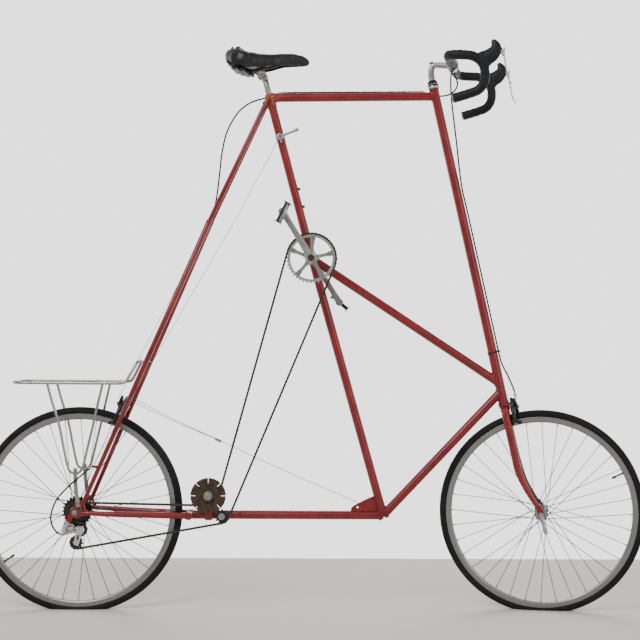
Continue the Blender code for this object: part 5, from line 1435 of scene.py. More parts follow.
def hood_shape(sign):
    y = sign * BAR_HALF
    upright, level = Vector((0, 0, 1)), Vector((1, 0, 0))

    def line(*points):
        return smooth_route([by_clamp(x, z, y) for x, z in points], 0.003)

    body = sweep(line((0.1000, -0.0140), (0.1190, -0.0145), (0.1350, -0.0080), (0.1470, 0.0040),
                      (0.1520, 0.0170), (0.1495, 0.0290), (0.1425, 0.0405)),
                 [0.0178, 0.0230, 0.0242, 0.0224, 0.0202, 0.0152, 0.0070], 36, flat=0.66, start=upright,
                 square=0.88)
    root = sweep(line((0.1060, 0.0000), (0.1140, -0.0200), (0.1210, -0.0400)), [0.0160, 0.0180, 0.0168], 28,
                 start=level, flat=0.95)
    nose = sweep(line((0.1460, 0.0040), (0.1590, 0.0080), (0.1695, 0.0115)), [0.0132, 0.0124, 0.0098], 28,
                 flat=1.0, start=upright)
    return merged(body, root, nose)


def soften(made, voxel, rounds, factor=0.6):
    """Joins overlapping shapes into one smooth skin."""
    skin_step = made.modifiers.new("Skin", "REMESH")
    skin_step.mode = "VOXEL"
    skin_step.voxel_size = voxel
    skin_step.use_smooth_shade = True
    ease = made.modifiers.new("Ease", "SMOOTH")
    ease.factor = factor
    ease.iterations = rounds


def build_lever(name, sign):
    y = sign * BAR_HALF
    hood = piece(f"hood_{name}_moulded", hood_shape(sign), "steering", M["hood"], "hood_rubber",
                 [f"brake_hood_{name}"], steered=True)
    soften(hood, 0.0016, 7)
    blade = [by_clamp(x, z, y) for x, z in ((0.1785, 0.0120), (0.1790, -0.0030), (0.1800, -0.0200),
                                            (0.1855, -0.0500), (0.1905, -0.0750), (0.1960, -0.0880),
                                            (0.2025, -0.0960))]
    strip = sweep(smooth_route(blade, 0.004), [0.0054, 0.0070, 0.0074, 0.0068, 0.0064, 0.0060, 0.0048], 28,
                  flat=0.36, square=0.75)
    cheeks = [sweep([by_clamp(0.1790, 0.0105, y + side_y), by_clamp(0.1700, 0.0050, y + side_y),
                     by_clamp(0.1760, -0.0080, y + side_y)], [0.0034, 0.0040, 0.0032], 16, flat=0.30,
                    start=Vector((0, 0, 1))) for side_y in (-0.0062, 0.0062)]
    pin = rod(by_clamp(0.1700, 0.0050, y - 0.0108), by_clamp(0.1700, 0.0050, y + 0.0108), 0.0026, 16)
    lip = sweep([blade[0] + Vector((0.0015, -0.0045, 0.0030)), blade[0] + Vector((0.0015, 0.0045, 0.0030))],
                0.0024, 16)
    piece(f"lever_blade_{name}", merged(strip, *cheeks, pin, lip), f"brake_lever_{name}", M["lever"], "alloy",
          [f"brake_lever_{name}"], steered=True)


# ---------------------------------------------------------------- brakes
def brake_parts(bolt, outward, downward, reach, sign, lift):
    """One side of a calliper: its arm, eye, shoe nut, pad and pad holder."""
    centre = bolt + outward * lift

    def spot(y, down, out=0.0):
        return centre + Y_AXIS * y + downward * down + outward * out

    path = [spot(-sign * 0.0180, -0.0300), spot(-sign * 0.0140, -0.0200), spot(-sign * 0.0060, -0.0110),
            spot(sign * 0.0030, -0.0040), spot(sign * 0.0130, -0.0005), spot(sign * 0.0260, 0.0120),
            spot(sign * 0.0310, 0.0300), spot(sign * 0.0280, reach - 0.006), spot(sign * 0.0225, reach)]
    arm = sweep(smooth_route(path, 0.003),
                [0.0046, 0.0058, 0.0078, 0.0084, 0.0076, 0.0068, 0.0064, 0.0060, 0.0050],
                20, start=outward, flat=1.1, square=0.75)
    eye = lathe([(0.0036, -0.0050), (0.0088, -0.0048), (0.0092, -0.0036), (0.0092, 0.0036), (0.0088, 0.0048),
                 (0.0036, 0.0050)], centre, outward, 28)
    foot = spot(sign * 0.0240, reach)
    clamp = lathe([(0.0030, -0.0030), (0.0062, -0.0028), (0.0062, 0.0020), (0.0030, 0.0022)], foot,
                  Y_AXIS * sign, 20)
    nut = hexagon(foot + Y_AXIS * sign * 0.0020, Y_AXIS * sign, 0.0098, 0.0046)
    ahead = outward * (0.016 + lift * 0.5)
    middle = spot(sign * 0.0170, reach + 0.0005, -lift * 0.5)
    pad = sweep([middle - ahead, middle, middle + ahead * 1.1 + downward * 0.003],
                [0.0042, 0.0046, 0.0042], 16, start=downward, flat=0.72, square=0.55)
    holder = sweep([middle - ahead * 0.85 + Y_AXIS * sign * 0.0022,
                    middle + ahead * 0.9 + downward * 0.0024 + Y_AXIS * sign * 0.0022],
                   0.0042, 12, start=downward, flat=0.6, square=0.6)
    return arm, eye, merged(clamp, nut), pad, holder


def build_brake(name, bolt, outward, downward, reach, hold, steered):
    turned = dict(steered=steered)
    for which, sign, lift in (("right", -1, 0.0), ("left", 1, 0.0105)):
        arm, eye, nuts, pad, holder = brake_parts(bolt, outward, downward, reach, sign, lift)
        body = f"{name}_brake_arm_{which}"
        piece(f"{name}_caliper_{which}", merged(arm, eye, holder), body, M["black"], "black_metal", [body],
              **turned)
        piece(f"{name}_shoe_nut_{which}", nuts, body, M["steel"], "steel", **turned)
        piece(f"{name}_brake_pad_{which}", pad, body, M["pad"], "tyre_rubber", **turned)
    front = bolt + outward * 0.0155
    parts = [rod(bolt - outward * 0.0170, front + outward * 0.0060, 0.0032, 16),
             hexagon(front + outward * 0.0004, outward, 0.0110, 0.0052),
             lathe([(0.0032, 0.0), (0.0070, 0.0004), (0.0070, 0.0014), (0.0032, 0.0016)],
                   bolt + outward * 0.0142, outward, 24)]
    spring = []
    for sign in (-1, 1):
        wire = [bolt - outward * 0.0060 + Y_AXIS * sign * 0.004 - downward * 0.008,
                bolt - outward * 0.0066 + Y_AXIS * sign * 0.020 - downward * 0.004,
                bolt - outward * 0.0066 + Y_AXIS * sign * 0.0245 + downward * 0.012,
                bolt - outward * 0.0050 + Y_AXIS * sign * 0.0250 + downward * 0.024]
        spring.append(sweep(smooth_route(wire, 0.003), 0.0011, 8))
    piece(f"{name}_caliper_bolt", merged(*parts), hold, M["steel"], "steel", **turned)
    piece(f"{name}_caliper_spring", merged(*spring), hold, M["steel"], "steel", **turned)


def build_brakes():
    bolt = on_head(HEAD_LENGTH + 0.0200, 0.0260)
    build_brake("front", bolt, FORWARD, DOWN, 0.0490, "steering", True)
    down_stay = side(STAY_FOOT[0] - STAY_WELD[0], STAY_FOOT[1] - STAY_WELD[1])
    rearward = side(down_stay.z, -down_stay.x)
    build_brake("rear", at(*BRIDGE) + rearward * 0.0125, rearward, down_stay, 0.0640, "frame", False)


def adjuster(tip, way, hold, name, steered):
    """A barrel adjuster where a brake's housing ends."""
    barrel = lathe([(0.0016, -0.004), (0.0030, -0.0038), (0.0032, 0.0), (0.0052, 0.0006), (0.0054, 0.0016),
                    (0.0054, 0.0080), (0.0050, 0.0090), (0.0036, 0.0094), (0.0034, 0.0130), (0.0016, 0.0134)],
                   tip, way, 14)
    stud = rod(tip - way * 0.0120, tip, 0.0021, 12)
    piece(name, merged(barrel, stud), hold, M["chrome"], "chrome", steered=steered, bevel=0.0003)


# ---------------------------------------------------------------- seat
def profile(stations, x):
    """Reads a list of (x, values...) at x, smoothly between its stations."""
    stations = list(stations)
    if x <= stations[0][0]:
        return stations[0][1:]
    for low, high in zip(stations, stations[1:]):
        if x <= high[0]:
            t = (x - low[0]) / (high[0] - low[0])
            t = t * t * (3 - 2 * t)
            return tuple(a + (b - a) * t for a, b in zip(low[1:], high[1:]))
    return stations[-1][1:]


SADDLE = (
    # ahead of the rear axle, half width, top, widest height, bottom of the skirt
    (0.4640, 0.0200, 1.8420, 1.8300, 1.8160),
    (0.4700, 0.0440, 1.8520, 1.8290, 1.8050),
    (0.4820, 0.0600, 1.8580, 1.8280, 1.7990),
    (0.5000, 0.0680, 1.8570, 1.8240, 1.7930),
    (0.5210, 0.0700, 1.8500, 1.8180, 1.7890),
    (0.5480, 0.0670, 1.8445, 1.8130, 1.7870),
    (0.5800, 0.0560, 1.8400, 1.8120, 1.7890),
    (0.6150, 0.0390, 1.8395, 1.8140, 1.7960),
    (0.6500, 0.0275, 1.8425, 1.8180, 1.8000),
    (0.6850, 0.0225, 1.8430, 1.8200, 1.8015),
    (0.7130, 0.0195, 1.8375, 1.8190, 1.8030),
    (0.7300, 0.0145, 1.8290, 1.8170, 1.8050),
    (0.7385, 0.0060, 1.8200, 1.8150, 1.8090),
)


def saddle_ring(x):
    """One section of the saddle: crowned top, rounded shoulder, skirt tucked in below."""
    half, top, wide, low = profile(SADDLE, x)
    section = []
    for k in range(9):
        turn = math.pi / 2 * k / 8
        section.append((half * eased(math.sin(turn), 0.80),
                        wide + (top - wide) * eased(math.cos(turn), 0.88)))
    section += [(half * 0.985, wide - (wide - low) * 0.35), (half * 0.93, wide - (wide - low) * 0.72),
                (half * 0.86, low), (half * 0.80, low + 0.0012), (half * 0.70, low + 0.006),
                (half * 0.35, low + 0.0090), (0.0, low + 0.0095)]
    right = [at(x, z, -y) for y, z in section]
    return right + [Vector((p.x, -p.y, p.z)) for p in right[-2:0:-1]]


FOLD_SEED = 5                  # gives the torn cover the same folds on every run
TORN_UNTIL = 0.5565            # ahead of the rear axle; the cover is whole further on


def crumple(spot):
    """How far torn, sagging cover moves at a point: deep folds at the back, none further on."""
    x = spot.x - REAR.x
    share = max(0.0, min(1.0, (TORN_UNTIL - x) / 0.055))
    share = share * share * (3 - 2 * share)
    big = noise.noise_vector(Vector((x * 38, spot.y * 30, spot.z * 30)) + Vector((4.2, 1.7, 9.1)))
    small = noise.noise_vector(Vector((x * 95, spot.y * 80, spot.z * 85)) + Vector((1.1, 6.3, 2.2)))
    valley = math.exp(-((x - 0.4985) / 0.0065) ** 2) * max(0.0, 1 - abs(spot.y) / 0.075)
    ridge = math.exp(-((x - 0.5110) / 0.0070) ** 2) * max(0.0, 1 - abs(spot.y) / 0.075)
    low_share = max(0.0, min(1.0, (1.822 - spot.z) / 0.02))
    return (big * 0.0100 + small * 0.0042) * share + Vector((0, 0, 1)) * (
        ridge * 0.0055 - valley * 0.0085) * (1 - low_share)


def build_saddle():
    noise.seed_set(FOLD_SEED)
    tail, tip = SADDLE[0][0], SADDLE[-1][0]
    last = 62
    shape = bmesh.new()
    rings = []
    for k in range(last + 1):
        ring = saddle_ring(tail + (tip - tail) * k / last)
        rings.append([shape.verts.new(p + crumple(p)) for p in ring])
    skin(shape, rings)
    cover = piece("saddle_cover_worn", shape, "seat", M["cover"], "saddle_cover", ["saddle"], subdivide=1,
                  sharp=70)
    build_foam()
    build_torn_flaps()


def build_foam():
    """Bare foam that swells out through a tear in the cover, at the back on the right."""
    last = 14
    patch = bmesh.new()
    rings = []
    for k in range(last + 1):
        x = 0.4790 + 0.0200 * k / last
        ring = []
        for j in range(last + 1):
            y = -0.0620 + 0.0460 * j / last
            edge = 1 - max(abs(2 * k / last - 1), abs(2 * j / last - 1)) ** 4
            half, top, wide, low = profile(SADDLE, x)
            z = wide + (top - wide) * math.cos(min(1.0, abs(y) / half) * math.pi / 2) ** 0.7
            spot = at(x, z, y)
            outward = Vector((0, y / half * 1.1, 0.7)).normalized()
            spot += crumple(spot) + outward * (0.0105 * edge - 0.0024 + 0.0020 * noise.noise(spot * 160))
            ring.append(patch.verts.new(spot))
        rings.append(ring)
    for low, high in zip(rings, rings[1:]):
        for i in range(len(low) - 1):
            patch.faces.new((low[i], low[i + 1], high[i + 1], high[i]))
    grown = bmesh.ops.extrude_face_region(patch, geom=patch.faces[:])
    moved = [g for g in grown["geom"] if isinstance(g, bmesh.types.BMVert)]
    bmesh.ops.translate(patch, vec=Vector((0, 0, -0.0100)), verts=moved)
    filling = piece("saddle_foam_bare", patch, "seat", M["foam"], "saddle_foam", subdivide=1)


def build_torn_flaps():
    """The rags of cover and base that hang behind the seat clamp."""
    rags = []
    lines = (
        # width, then the middle line of each rag
        (0.034, [(0.4740, 1.8060, -0.030), (0.4900, 1.7900, -0.036), (0.5130, 1.7810, -0.036),
                 (0.5300, 1.7760, -0.030)]),
        (0.030, [(0.5080, 1.7920, -0.030), (0.5280, 1.7800, -0.036), (0.5420, 1.7690, -0.033),
                 (0.5560, 1.7670, -0.028)]),
        (0.036, [(0.4760, 1.8050, 0.024), (0.4980, 1.7880, 0.030), (0.5280, 1.7780, 0.032),
                 (0.5480, 1.7740, 0.026)]),
        (0.050, [(0.4900, 1.8000, 0.000), (0.5100, 1.7840, 0.000), (0.5330, 1.7760, -0.004),
                 (0.5500, 1.7800, 0.000)]),
    )
    for k, (width, points) in enumerate(lines):
        line = smooth_route([at(x, z, y) for x, z, y in points], 0.003)

        def crease(run, turn, k=k):
            slow = 0.0030 * math.sin(run * 330 + 3.0 * math.sin(turn + k) + k)
            return slow + 0.0016 * math.sin(turn * 5 + run * 700)

        rags.append(sweep(line, [width * 0.30, width * 0.46, width * 0.44, width * 0.30], 32, flat=0.42,
                          start=Y_AXIS, ripple=crease))
    rag = piece("saddle_torn_edge", merged(*rags), "seat", M["cover"], "saddle_cover", subdivide=1, sharp=80)
    tear = [at(0.4690, 1.8110, -0.024), at(0.4735, 1.8030, -0.044), at(0.4850, 1.7945, -0.056),
            at(0.5000, 1.7880, -0.062)]
    edge = sweep(smooth_route(tear, 0.003), [0.0022, 0.0036, 0.0032, 0.0016], 12, flat=0.5,
                 ripple=lambda run, turn: 0.0007 * math.sin(run * 1400 + turn))
    piece("saddle_base_edge", edge, "seat", M["cover"], "saddle_cover")


def build_seat():
    top = SEAT_TOP + SEAT_WAY * 0.0620
    post = sweep([SEAT_TOP - SEAT_WAY * 0.1170, SEAT_TOP + SEAT_WAY * 0.020, top], 0.0100, 36)
    ring = lathe([(0.0100, 0.0480), (0.0112, 0.0490), (0.0114, 0.0560), (0.0102, 0.0580)], SEAT_TOP, SEAT_WAY)
    piece("seatpost_tube", merged(post, ring), "seat", M["steel"], "steel", ["seatpost"])
    middle = at(0.5800, 1.7735)
    ahead = side(0.96, 0.2)
    up = ahead.cross(Y_AXIS)
    shapes, bars = [], []
    for sign in (-1, 1):
        centre = middle + Y_AXIS * sign * 0.0225
        shapes.append(lathe([(0.0060, -0.0052), (0.0142, -0.0050), (0.0156, -0.0036), (0.0156, 0.0036),
                             (0.0142, 0.0050), (0.0060, 0.0052)], centre, Y_AXIS, 40))
        bars.append(sweep([centre - ahead * 0.0190 + up * 0.0120, centre + up * 0.0128,
                           centre + ahead * 0.0200 + up * 0.0136], [0.0062, 0.0072, 0.0058], 20, start=Y_AXIS,
                          flat=0.8, square=0.7))
        shapes.append(sweep([centre - ahead * 0.0120 + up * 0.0030, centre - up * 0.0045,
                             centre + ahead * 0.0110 + up * 0.0030], [0.0070, 0.0082, 0.0070], 20,
                            start=Y_AXIS,
                            flat=0.9, square=0.8))
        shapes.append(hexagon(middle + Y_AXIS * sign * 0.0275, Y_AXIS * sign, 0.0150, 0.0068, 0.3))
    shapes.append(rod(middle - Y_AXIS * 0.0300, middle + Y_AXIS * 0.0300, 0.0042, 16))
    shapes.append(rod(top - SEAT_WAY * 0.004 - Y_AXIS * 0.0180, top - SEAT_WAY * 0.004 + Y_AXIS * 0.0180,
                      0.0112, 28))
    piece("saddle_clamp", merged(*shapes), "seat", M["clamp"], "steel", bevel=0.0005)
    piece("saddle_clamp_bars", merged(*bars), "seat", M["cog"], "black_metal", bevel=0.0005)
    rails = []
    for sign in (-1, 1):
        line = [(0.5000, 1.8100, 0.030), (0.5060, 1.7990, 0.026), (0.5250, 1.7900, 0.023),
                (0.5480, 1.7835, 0.022), (0.5780, 1.7862, 0.022), (0.6080, 1.7912, 0.022),
                (0.6450, 1.8020, 0.021), (0.6750, 1.8075, 0.019), (0.6980, 1.8100, 0.014),
                (0.7100, 1.8120, 0.006)]
        rails.append(sweep(smooth_route([at(x, z, sign * y) for x, z, y in line], 0.004), 0.0035, 16))
    rails.append(rod(at(0.7070, 1.8118, -0.0100), at(0.7070, 1.8118, 0.0100), 0.0036, 16))
    piece("saddle_rails_bent", merged(*rails), "seat", M["black"], "black_metal", ["saddle_rails"])
    build_saddle()


# ---------------------------------------------------------------- rack and shifter
RACK = 0.7530
RACK_HALF = 0.0600


def build_rack():
    hoop = [(0.1910, 0.8240, 0.022), (0.1880, 0.8190, 0.036), (0.1780, 0.8000, 0.045),
            (0.1610, 0.7680, 0.053),
            (0.1530, 0.7575, 0.056), (0.1420, 0.7535, 0.058), (0.1200, RACK, RACK_HALF),
            (-0.0400, RACK, RACK_HALF),
            (-0.1500, RACK, 0.0595), (-0.1900, RACK, 0.0525), (-0.2100, RACK, 0.034), (-0.2150, RACK, 0.012)]
    path = [at(x, z, -w) for x, z, w in hoop] + [at(x, z, w) for x, z, w in hoop[::-1]]
    shapes = [sweep(smooth_route(path, 0.006), 0.0050, 20),
              sweep(smooth_route([at(0.1895, 0.8220, -0.026), at(0.1915, 0.8250, 0.0),
                                  at(0.1895, 0.8220, 0.026)],
                                 0.005), 0.0048, 16)]
    for x in (-0.1500, -0.0400, 0.0700):
        shapes.append(rod(at(x, RACK, -RACK_HALF), at(x, RACK, RACK_HALF), 0.0040, 16))
        for sign in (-1, 1):
            shapes.append(weld_bead(at(x, RACK, 0), Y_AXIS * sign, 0.0040,
                                    (at(-0.2, RACK, sign * RACK_HALF), at(0.2, RACK, sign * RACK_HALF)),
                                    0.0048,
                                    0.0010))
    strip = [at(x, z) for x,
             z in ((-0.1540, RACK + 0.0030), (-0.1550, RACK + 0.0046), (-0.1530, RACK + 0.0055),
                   (0.0730, RACK + 0.0055), (0.0750, RACK + 0.0046), (0.0740, RACK + 0.0030),
                   (0.0720, RACK + 0.0040), (-0.1520, RACK + 0.0040))]
    shapes.append(plate(strip, -0.0120, 0.0120))
    for sign in (-1, 1):
        vee = [(-0.0960, RACK - 0.0010), (-0.0800, 0.6950), (-0.0560, 0.6200), (-0.0400, 0.5450),
               (-0.0285, 0.4930), (-0.0210, 0.4720), (-0.0090, 0.4625), (0.0040, 0.4620), (0.0160, 0.4700),
               (0.0245, 0.4900), (0.0370, 0.5450), (0.0530, 0.6150), (0.0690, 0.6900),
               (0.0830, RACK - 0.0010)]
        shapes.append(sweep(smooth_route([at(x, z, sign * RACK_HALF) for x, z in vee], 0.006), 0.0043, 18))
    piece("rack_tubes", merged(*shapes), "frame", M["rack"], "steel", ["rear_rack"])
    straps, bolts = [], []
    for sign in (-1, 1):
        line = [at(-0.0010, 0.4800, sign * 0.0655), at(0.0000, 0.4640, sign * 0.0658),
                at(0.0020, 0.4300, sign * 0.0690), at(0.0060, 0.3950, sign * 0.0705),
                at(0.0110, 0.3640, sign * 0.0705), at(0.0130, 0.3560, sign * 0.0700)]
        straps.append(sweep(smooth_route(line, 0.006), 0.0066, 16, start=Vector((1, 0, 0)), flat=0.20,
                            square=0.45, dome=False))
        for x, z, y, size in ((0.0120, 0.3660, 0.0715, 0.0085), (0.0000, 0.4700, 0.0668, 0.0080)):
            bolts.append(hexagon(at(x, z, sign * y), Y_AXIS * sign, size, 0.0040, 0.2))
            bolts.append(rod(at(x, z, sign * (y - 0.0085)), at(x, z, sign * y), 0.0022, 12))
    piece("rack_straps", merged(*straps), "frame", M["rack"], "steel", bevel=0.0003)
    piece("rack_bolts", merged(*bolts), "frame", M["brass"], "steel")
    ties = []
    for sign in (-1, 1):
        share = (0.8200 - STAY_FOOT[1]) / (STAY_WELD[1] - STAY_FOOT[1])
        inner = at(STAY_FOOT[0] + (STAY_WELD[0] - STAY_FOOT[0]) * share, 0.8200,
                   sign * (stay_y(0.820) - 0.0100))
        ties.append(rod(at(0.1890, 0.8210, sign * 0.0280), inner, 0.0034, 14, flat=0.7))
        ties.append(hexagon(inner - Y_AXIS * sign * 0.0030, Y_AXIS * sign, 0.0085, 0.0050))
    piece("rack_stay_ties", merged(*ties), "frame", M["rack"], "steel", bevel=0.0003)


SHIFTER_HEIGHT = 1.5630


def build_shifter():
    share = (SEAT_TOP.z - SHIFTER_HEIGHT) / (SEAT_TOP.z - CRANK.z)
    middle = SEAT_TOP.lerp(CRANK, share)
    band = lathe([(TUBE + 0.0002, -0.0060), (TUBE + 0.0016, -0.0060), (TUBE + 0.0022, -0.0050),
                  (TUBE + 0.0022, 0.0050), (TUBE + 0.0016, 0.0060), (TUBE + 0.0002, 0.0060)], middle,
                 SEAT_WAY,
                 40, closed=True)
    boss = lathe([(0.0085, TUBE + 0.0008), (0.0085, TUBE + 0.0030), (0.0070, TUBE + 0.0045), (0.0070, 0.0236),
                  (0.0090, 0.0240), (0.0092, 0.0252), (0.0030, 0.0254)], middle, -Y_AXIS, 32)
    ears = [rod(middle + Y_AXIS * (TUBE + 0.0015) + SEAT_WAY.cross(Y_AXIS) * s,
                middle + Y_AXIS * (TUBE + 0.0085) + SEAT_WAY.cross(Y_AXIS) * s, 0.0046, 16, flat=0.6)
            for s in (-0.0028, 0.0028)]
    stop = sweep([middle - Y_AXIS * 0.0215, middle - Y_AXIS * 0.0220 - SEAT_WAY * 0.0120,
                  middle - Y_AXIS * 0.0230 - SEAT_WAY * 0.0180], [0.0042, 0.0034, 0.0040], 16, flat=0.8)
    piece("shifter_band", merged(band, boss, *ears, stop), "frame", M["alloy"], "alloy", ["shifter_clamp"])
    hub = lathe([(0.0030, 0.0256), (0.0104, 0.0256), (0.0110, 0.0266), (0.0098, 0.0278), (0.0098, 0.0290),
                 (0.0110, 0.0302), (0.0108, 0.0322), (0.0096, 0.0330), (0.0060, 0.0332), (0.0056, 0.0322),
                 (0.0020, 0.0320)], middle, -Y_AXIS, 40)
    tip = side(0.92, 0.39)
    line = [middle - Y_AXIS * 0.0300, middle - Y_AXIS * 0.0300 + tip * 0.020,
            middle - Y_AXIS * 0.0308 + tip * 0.042,
            middle - Y_AXIS * 0.0330 + tip * 0.064]
    blade = sweep(smooth_route(line, 0.003), [0.0060, 0.0042, 0.0046, 0.0064], 24, start=tip.cross(Y_AXIS),
                  flat=0.42, square=0.85)
    piece("shift_lever_blade", merged(hub, blade), "shift_lever", M["alloy"], "alloy", ["shift_lever"])
    wing = [sweep([middle - Y_AXIS * 0.0330, middle - Y_AXIS * 0.0365 + SEAT_WAY * s * 0.0050,
                   middle - Y_AXIS * 0.0385 + SEAT_WAY * s * 0.0092], [0.0034, 0.0030, 0.0034], 14, flat=0.5)
            for s in (-1, 1)]
    piece("shift_lever_wing", merged(*wing), "shift_lever", M["steel"], "steel")


# ---------------------------------------------------------------- cables
HOUSING = 0.0028
BARE_WIRE = 0.0009
REAR_BRAKE_ROUTE = (
    (1.1150, 1.7225, 0.0080), (1.0950, 1.7215, 0.0040), (0.9000, 1.7183, 0.0040), (0.6600, 1.7145, 0.0060),
    (0.6350, 1.7120, 0.0150), (0.6080, 1.7040, 0.0255), (0.5850, 1.6975, 0.0240), (0.5600, 1.6890, 0.0170),
    (0.5337, 1.6752, 0.0120), (0.5010, 1.6454, 0.0100), (0.4690, 1.5870, 0.0080), (0.4530, 1.5205, 0.0060),
    (0.4460, 1.4550, 0.0040), (0.4395, 1.3892, 0.0020), (0.4330, 1.3450, 0.0000), (0.4230, 1.3068, 0.0000),
    (0.4085, 1.2640, 0.0000), (0.2700, 0.9925, 0.0000), (0.1310, 0.7200, 0.0020),
)
LOOP_ROUTE = (
    (1.2270, 1.7840, 0.0620), (1.2335, 1.7640, 0.0560), (1.2290, 1.7430, 0.0480), (1.2150, 1.7260, 0.0390),
    (1.1930, 1.7150, 0.0300), (1.1650, 1.7125, 0.0245), (1.1400, 1.7175, 0.0180), (1.1162, 1.7225, 0.0083),
)
FRONT_BRAKE_ROUTE = (
    (1.2110, 1.7740, -0.0270), (1.2100, 1.7450, -0.0250), (1.2130, 1.6860, -0.0200),
    (1.2274, 1.5647, -0.0120), (1.2449, 1.4163, -0.0040), (1.2665, 1.3200, 0.0), (1.3096, 1.1312, 0.0),
    (1.3430, 0.9850, 0.0), (1.3725, 0.8560, 0.0), (1.3830, 0.8200, 0.0010), (1.4010, 0.7850, 0.0020),
    (1.4190, 0.7450, 0.0020), (1.4260, 0.7230, 0.0020),
)
SHIFT_ROUTE = (
    (0.6350, 1.5450, -0.0230), (0.5100, 1.3010, -0.0345), (0.3000, 0.9270, -0.0525),
    (0.0520, 0.4840, -0.0712),
    (0.0200, 0.4560, -0.0755), (-0.0200, 0.4210, -0.0790), (-0.0560, 0.3780, -0.0810),
    (-0.0725, 0.3300, -0.0810), (-0.0680, 0.2950, -0.0770), (-0.0520, 0.2720, -0.0730),
    (-0.0430, 0.2690, -0.0710),
)


HOUSING_END = 16               # the point of the rear route where the housing stops


def routed(points):
    return [at(*point) for point in points]


def ferrule(tip, way):
    """The metal cap on the end of a housing."""
    return lathe([(0.0029, 0.0), (0.0034, 0.0004), (0.0035, 0.0110), (0.0030, 0.0118), (0.0016, 0.0119)],
                 tip - way * 0.0100, way, 20)


def build_cables():
    rear = routed(REAR_BRAKE_ROUTE)
    housing = smooth_route(rear[:HOUSING_END + 1], 0.008)
    piece("rear_brake_housing", sweep(housing, HOUSING, 14), "frame", M["cable"], "cable_black",
          ["rear_brake_cable"])
    bare = [rear[HOUSING_END] - side(1, 2) * 0.003, *rear[HOUSING_END + 1:],
            rear[-1] + side(-1, -2) * 0.02]
    piece("rear_brake_wire", sweep(bare, BARE_WIRE, 8), "frame", M["wire"], "steel")
    loop = smooth_route(routed(LOOP_ROUTE), 0.006)
    away = (loop[0] - loop[1]).normalized()
    upper = [loop[0] + away * 0.016 + Vector((-0.004, 0, 0.001)), loop[0] + away * 0.008]
    piece("rear_brake_loop_housing", sweep([*upper, *loop], HOUSING, 14), None, M["cable"], "cable_black",
          ["rear_brake_loop"], blend=("steering", "frame", loop[8], loop[-4]))
    front = smooth_route(routed(FRONT_BRAKE_ROUTE), 0.008)
    start = [front[0] + Vector((0.010, -0.004, 0.018)), front[0] + Vector((0.004, -0.001, 0.010))]
    piece("front_brake_housing", sweep([*start, *front], HOUSING, 14), "steering", M["cable"], "cable_black",
          ["front_brake_cable"], steered=True)
    way = (front[-1] - front[-2]).normalized()
    adjuster(front[-1] + way * 0.0060, -way, "steering", "front_barrel_adjuster", True)
    wire_end = on_head(HEAD_LENGTH + 0.0200, 0.0300) - DOWN * 0.0050
    piece("front_brake_wire", rod(front[-1], wire_end, BARE_WIRE, 8), "steering", M["wire"], "steel",
          steered=True)
    shift = routed(SHIFT_ROUTE)
    tail = smooth_route(shift[3:], 0.006)
    piece("shift_housing", sweep(tail, HOUSING, 14), "frame", M["cable"], "cable_black", ["shift_cable"])
    piece("shift_wire", sweep(shift[:4], BARE_WIRE, 8), "frame", M["wire"], "steel")
    tips = [ferrule(housing[-1], (housing[-1] - housing[-3]).normalized()),
            ferrule(tail[0], (tail[0] - tail[2]).normalized()),
            ferrule(tail[-1], (tail[-1] - tail[-3]).normalized()),
            ferrule(housing[0], (housing[0] - housing[2]).normalized())]
    piece("cable_ferrules", merged(*tips), "frame", M["steel"], "steel")
    build_cable_fixings(tail[0])
    build_bracing()


def build_cable_fixings(shift_stop):
    """Guides on the top tube, the rear stops on the stays, and the tie round the head tube."""
    guides = []
    for x in (0.6900, 0.8700, 1.0500):
        z = 1.7183 + (x - 0.9) * 0.0170
        guides.append(lathe([(0.0026, -0.0045), (0.0034, -0.0043), (0.0034, 0.0043), (0.0026, 0.0045)],
                            at(x, z, 0.0040), Vector((1, 0, 0)), 20, closed=True))
    piece("housing_guides", merged(*guides), "frame", M["paint"], "red_paint")
    stop = at(0.4085, 1.2640)
    hanger = [sweep([at(0.4040, 1.2670, -0.0200), at(0.4060, 1.2650, -0.0080), at(0.4060, 1.2650, 0.0080),
                     at(0.4040, 1.2670, 0.0200)], 0.0028, 12),
              lathe([(0.0030, -0.0060), (0.0048, -0.0050), (0.0048, 0.0040), (0.0030, 0.0050)], stop,
                    side(1, 2), 20)]
    stay = at(0.0630, 0.4760, -0.0600)
    hanger.append(sweep([stay + Vector((0.010, 0.0, 0.006)), shift_stop + Vector((0.002, 0.003, 0.002))],
                        [0.0050, 0.0040], 14))
    piece("cable_stops", merged(*hanger), "frame", M["paint"], "red_paint")
    tie_way = (DOWN + FORWARD * 0.10).normalized()
    centre = on_head(SEAM_DOWN + 0.0040)
    strap = lathe([(HEAD_TUBE + 0.0002, -0.0022), (HEAD_TUBE + 0.0016, -0.0020), (HEAD_TUBE + 0.0016, 0.0020),
                   (HEAD_TUBE + 0.0002, 0.0022)], centre, tie_way, 48, closed=True)
    knob = rod(centre + FORWARD * (HEAD_TUBE + 0.0010) - Y_AXIS * 0.0030,
               centre + FORWARD * (HEAD_TUBE + 0.0100) - Y_AXIS * 0.0050 - DOWN * 0.001, 0.0026, 12,
               square=0.7)
    piece("head_tube_tie", merged(strap, knob), "frame", M["cable"], "cable_black")


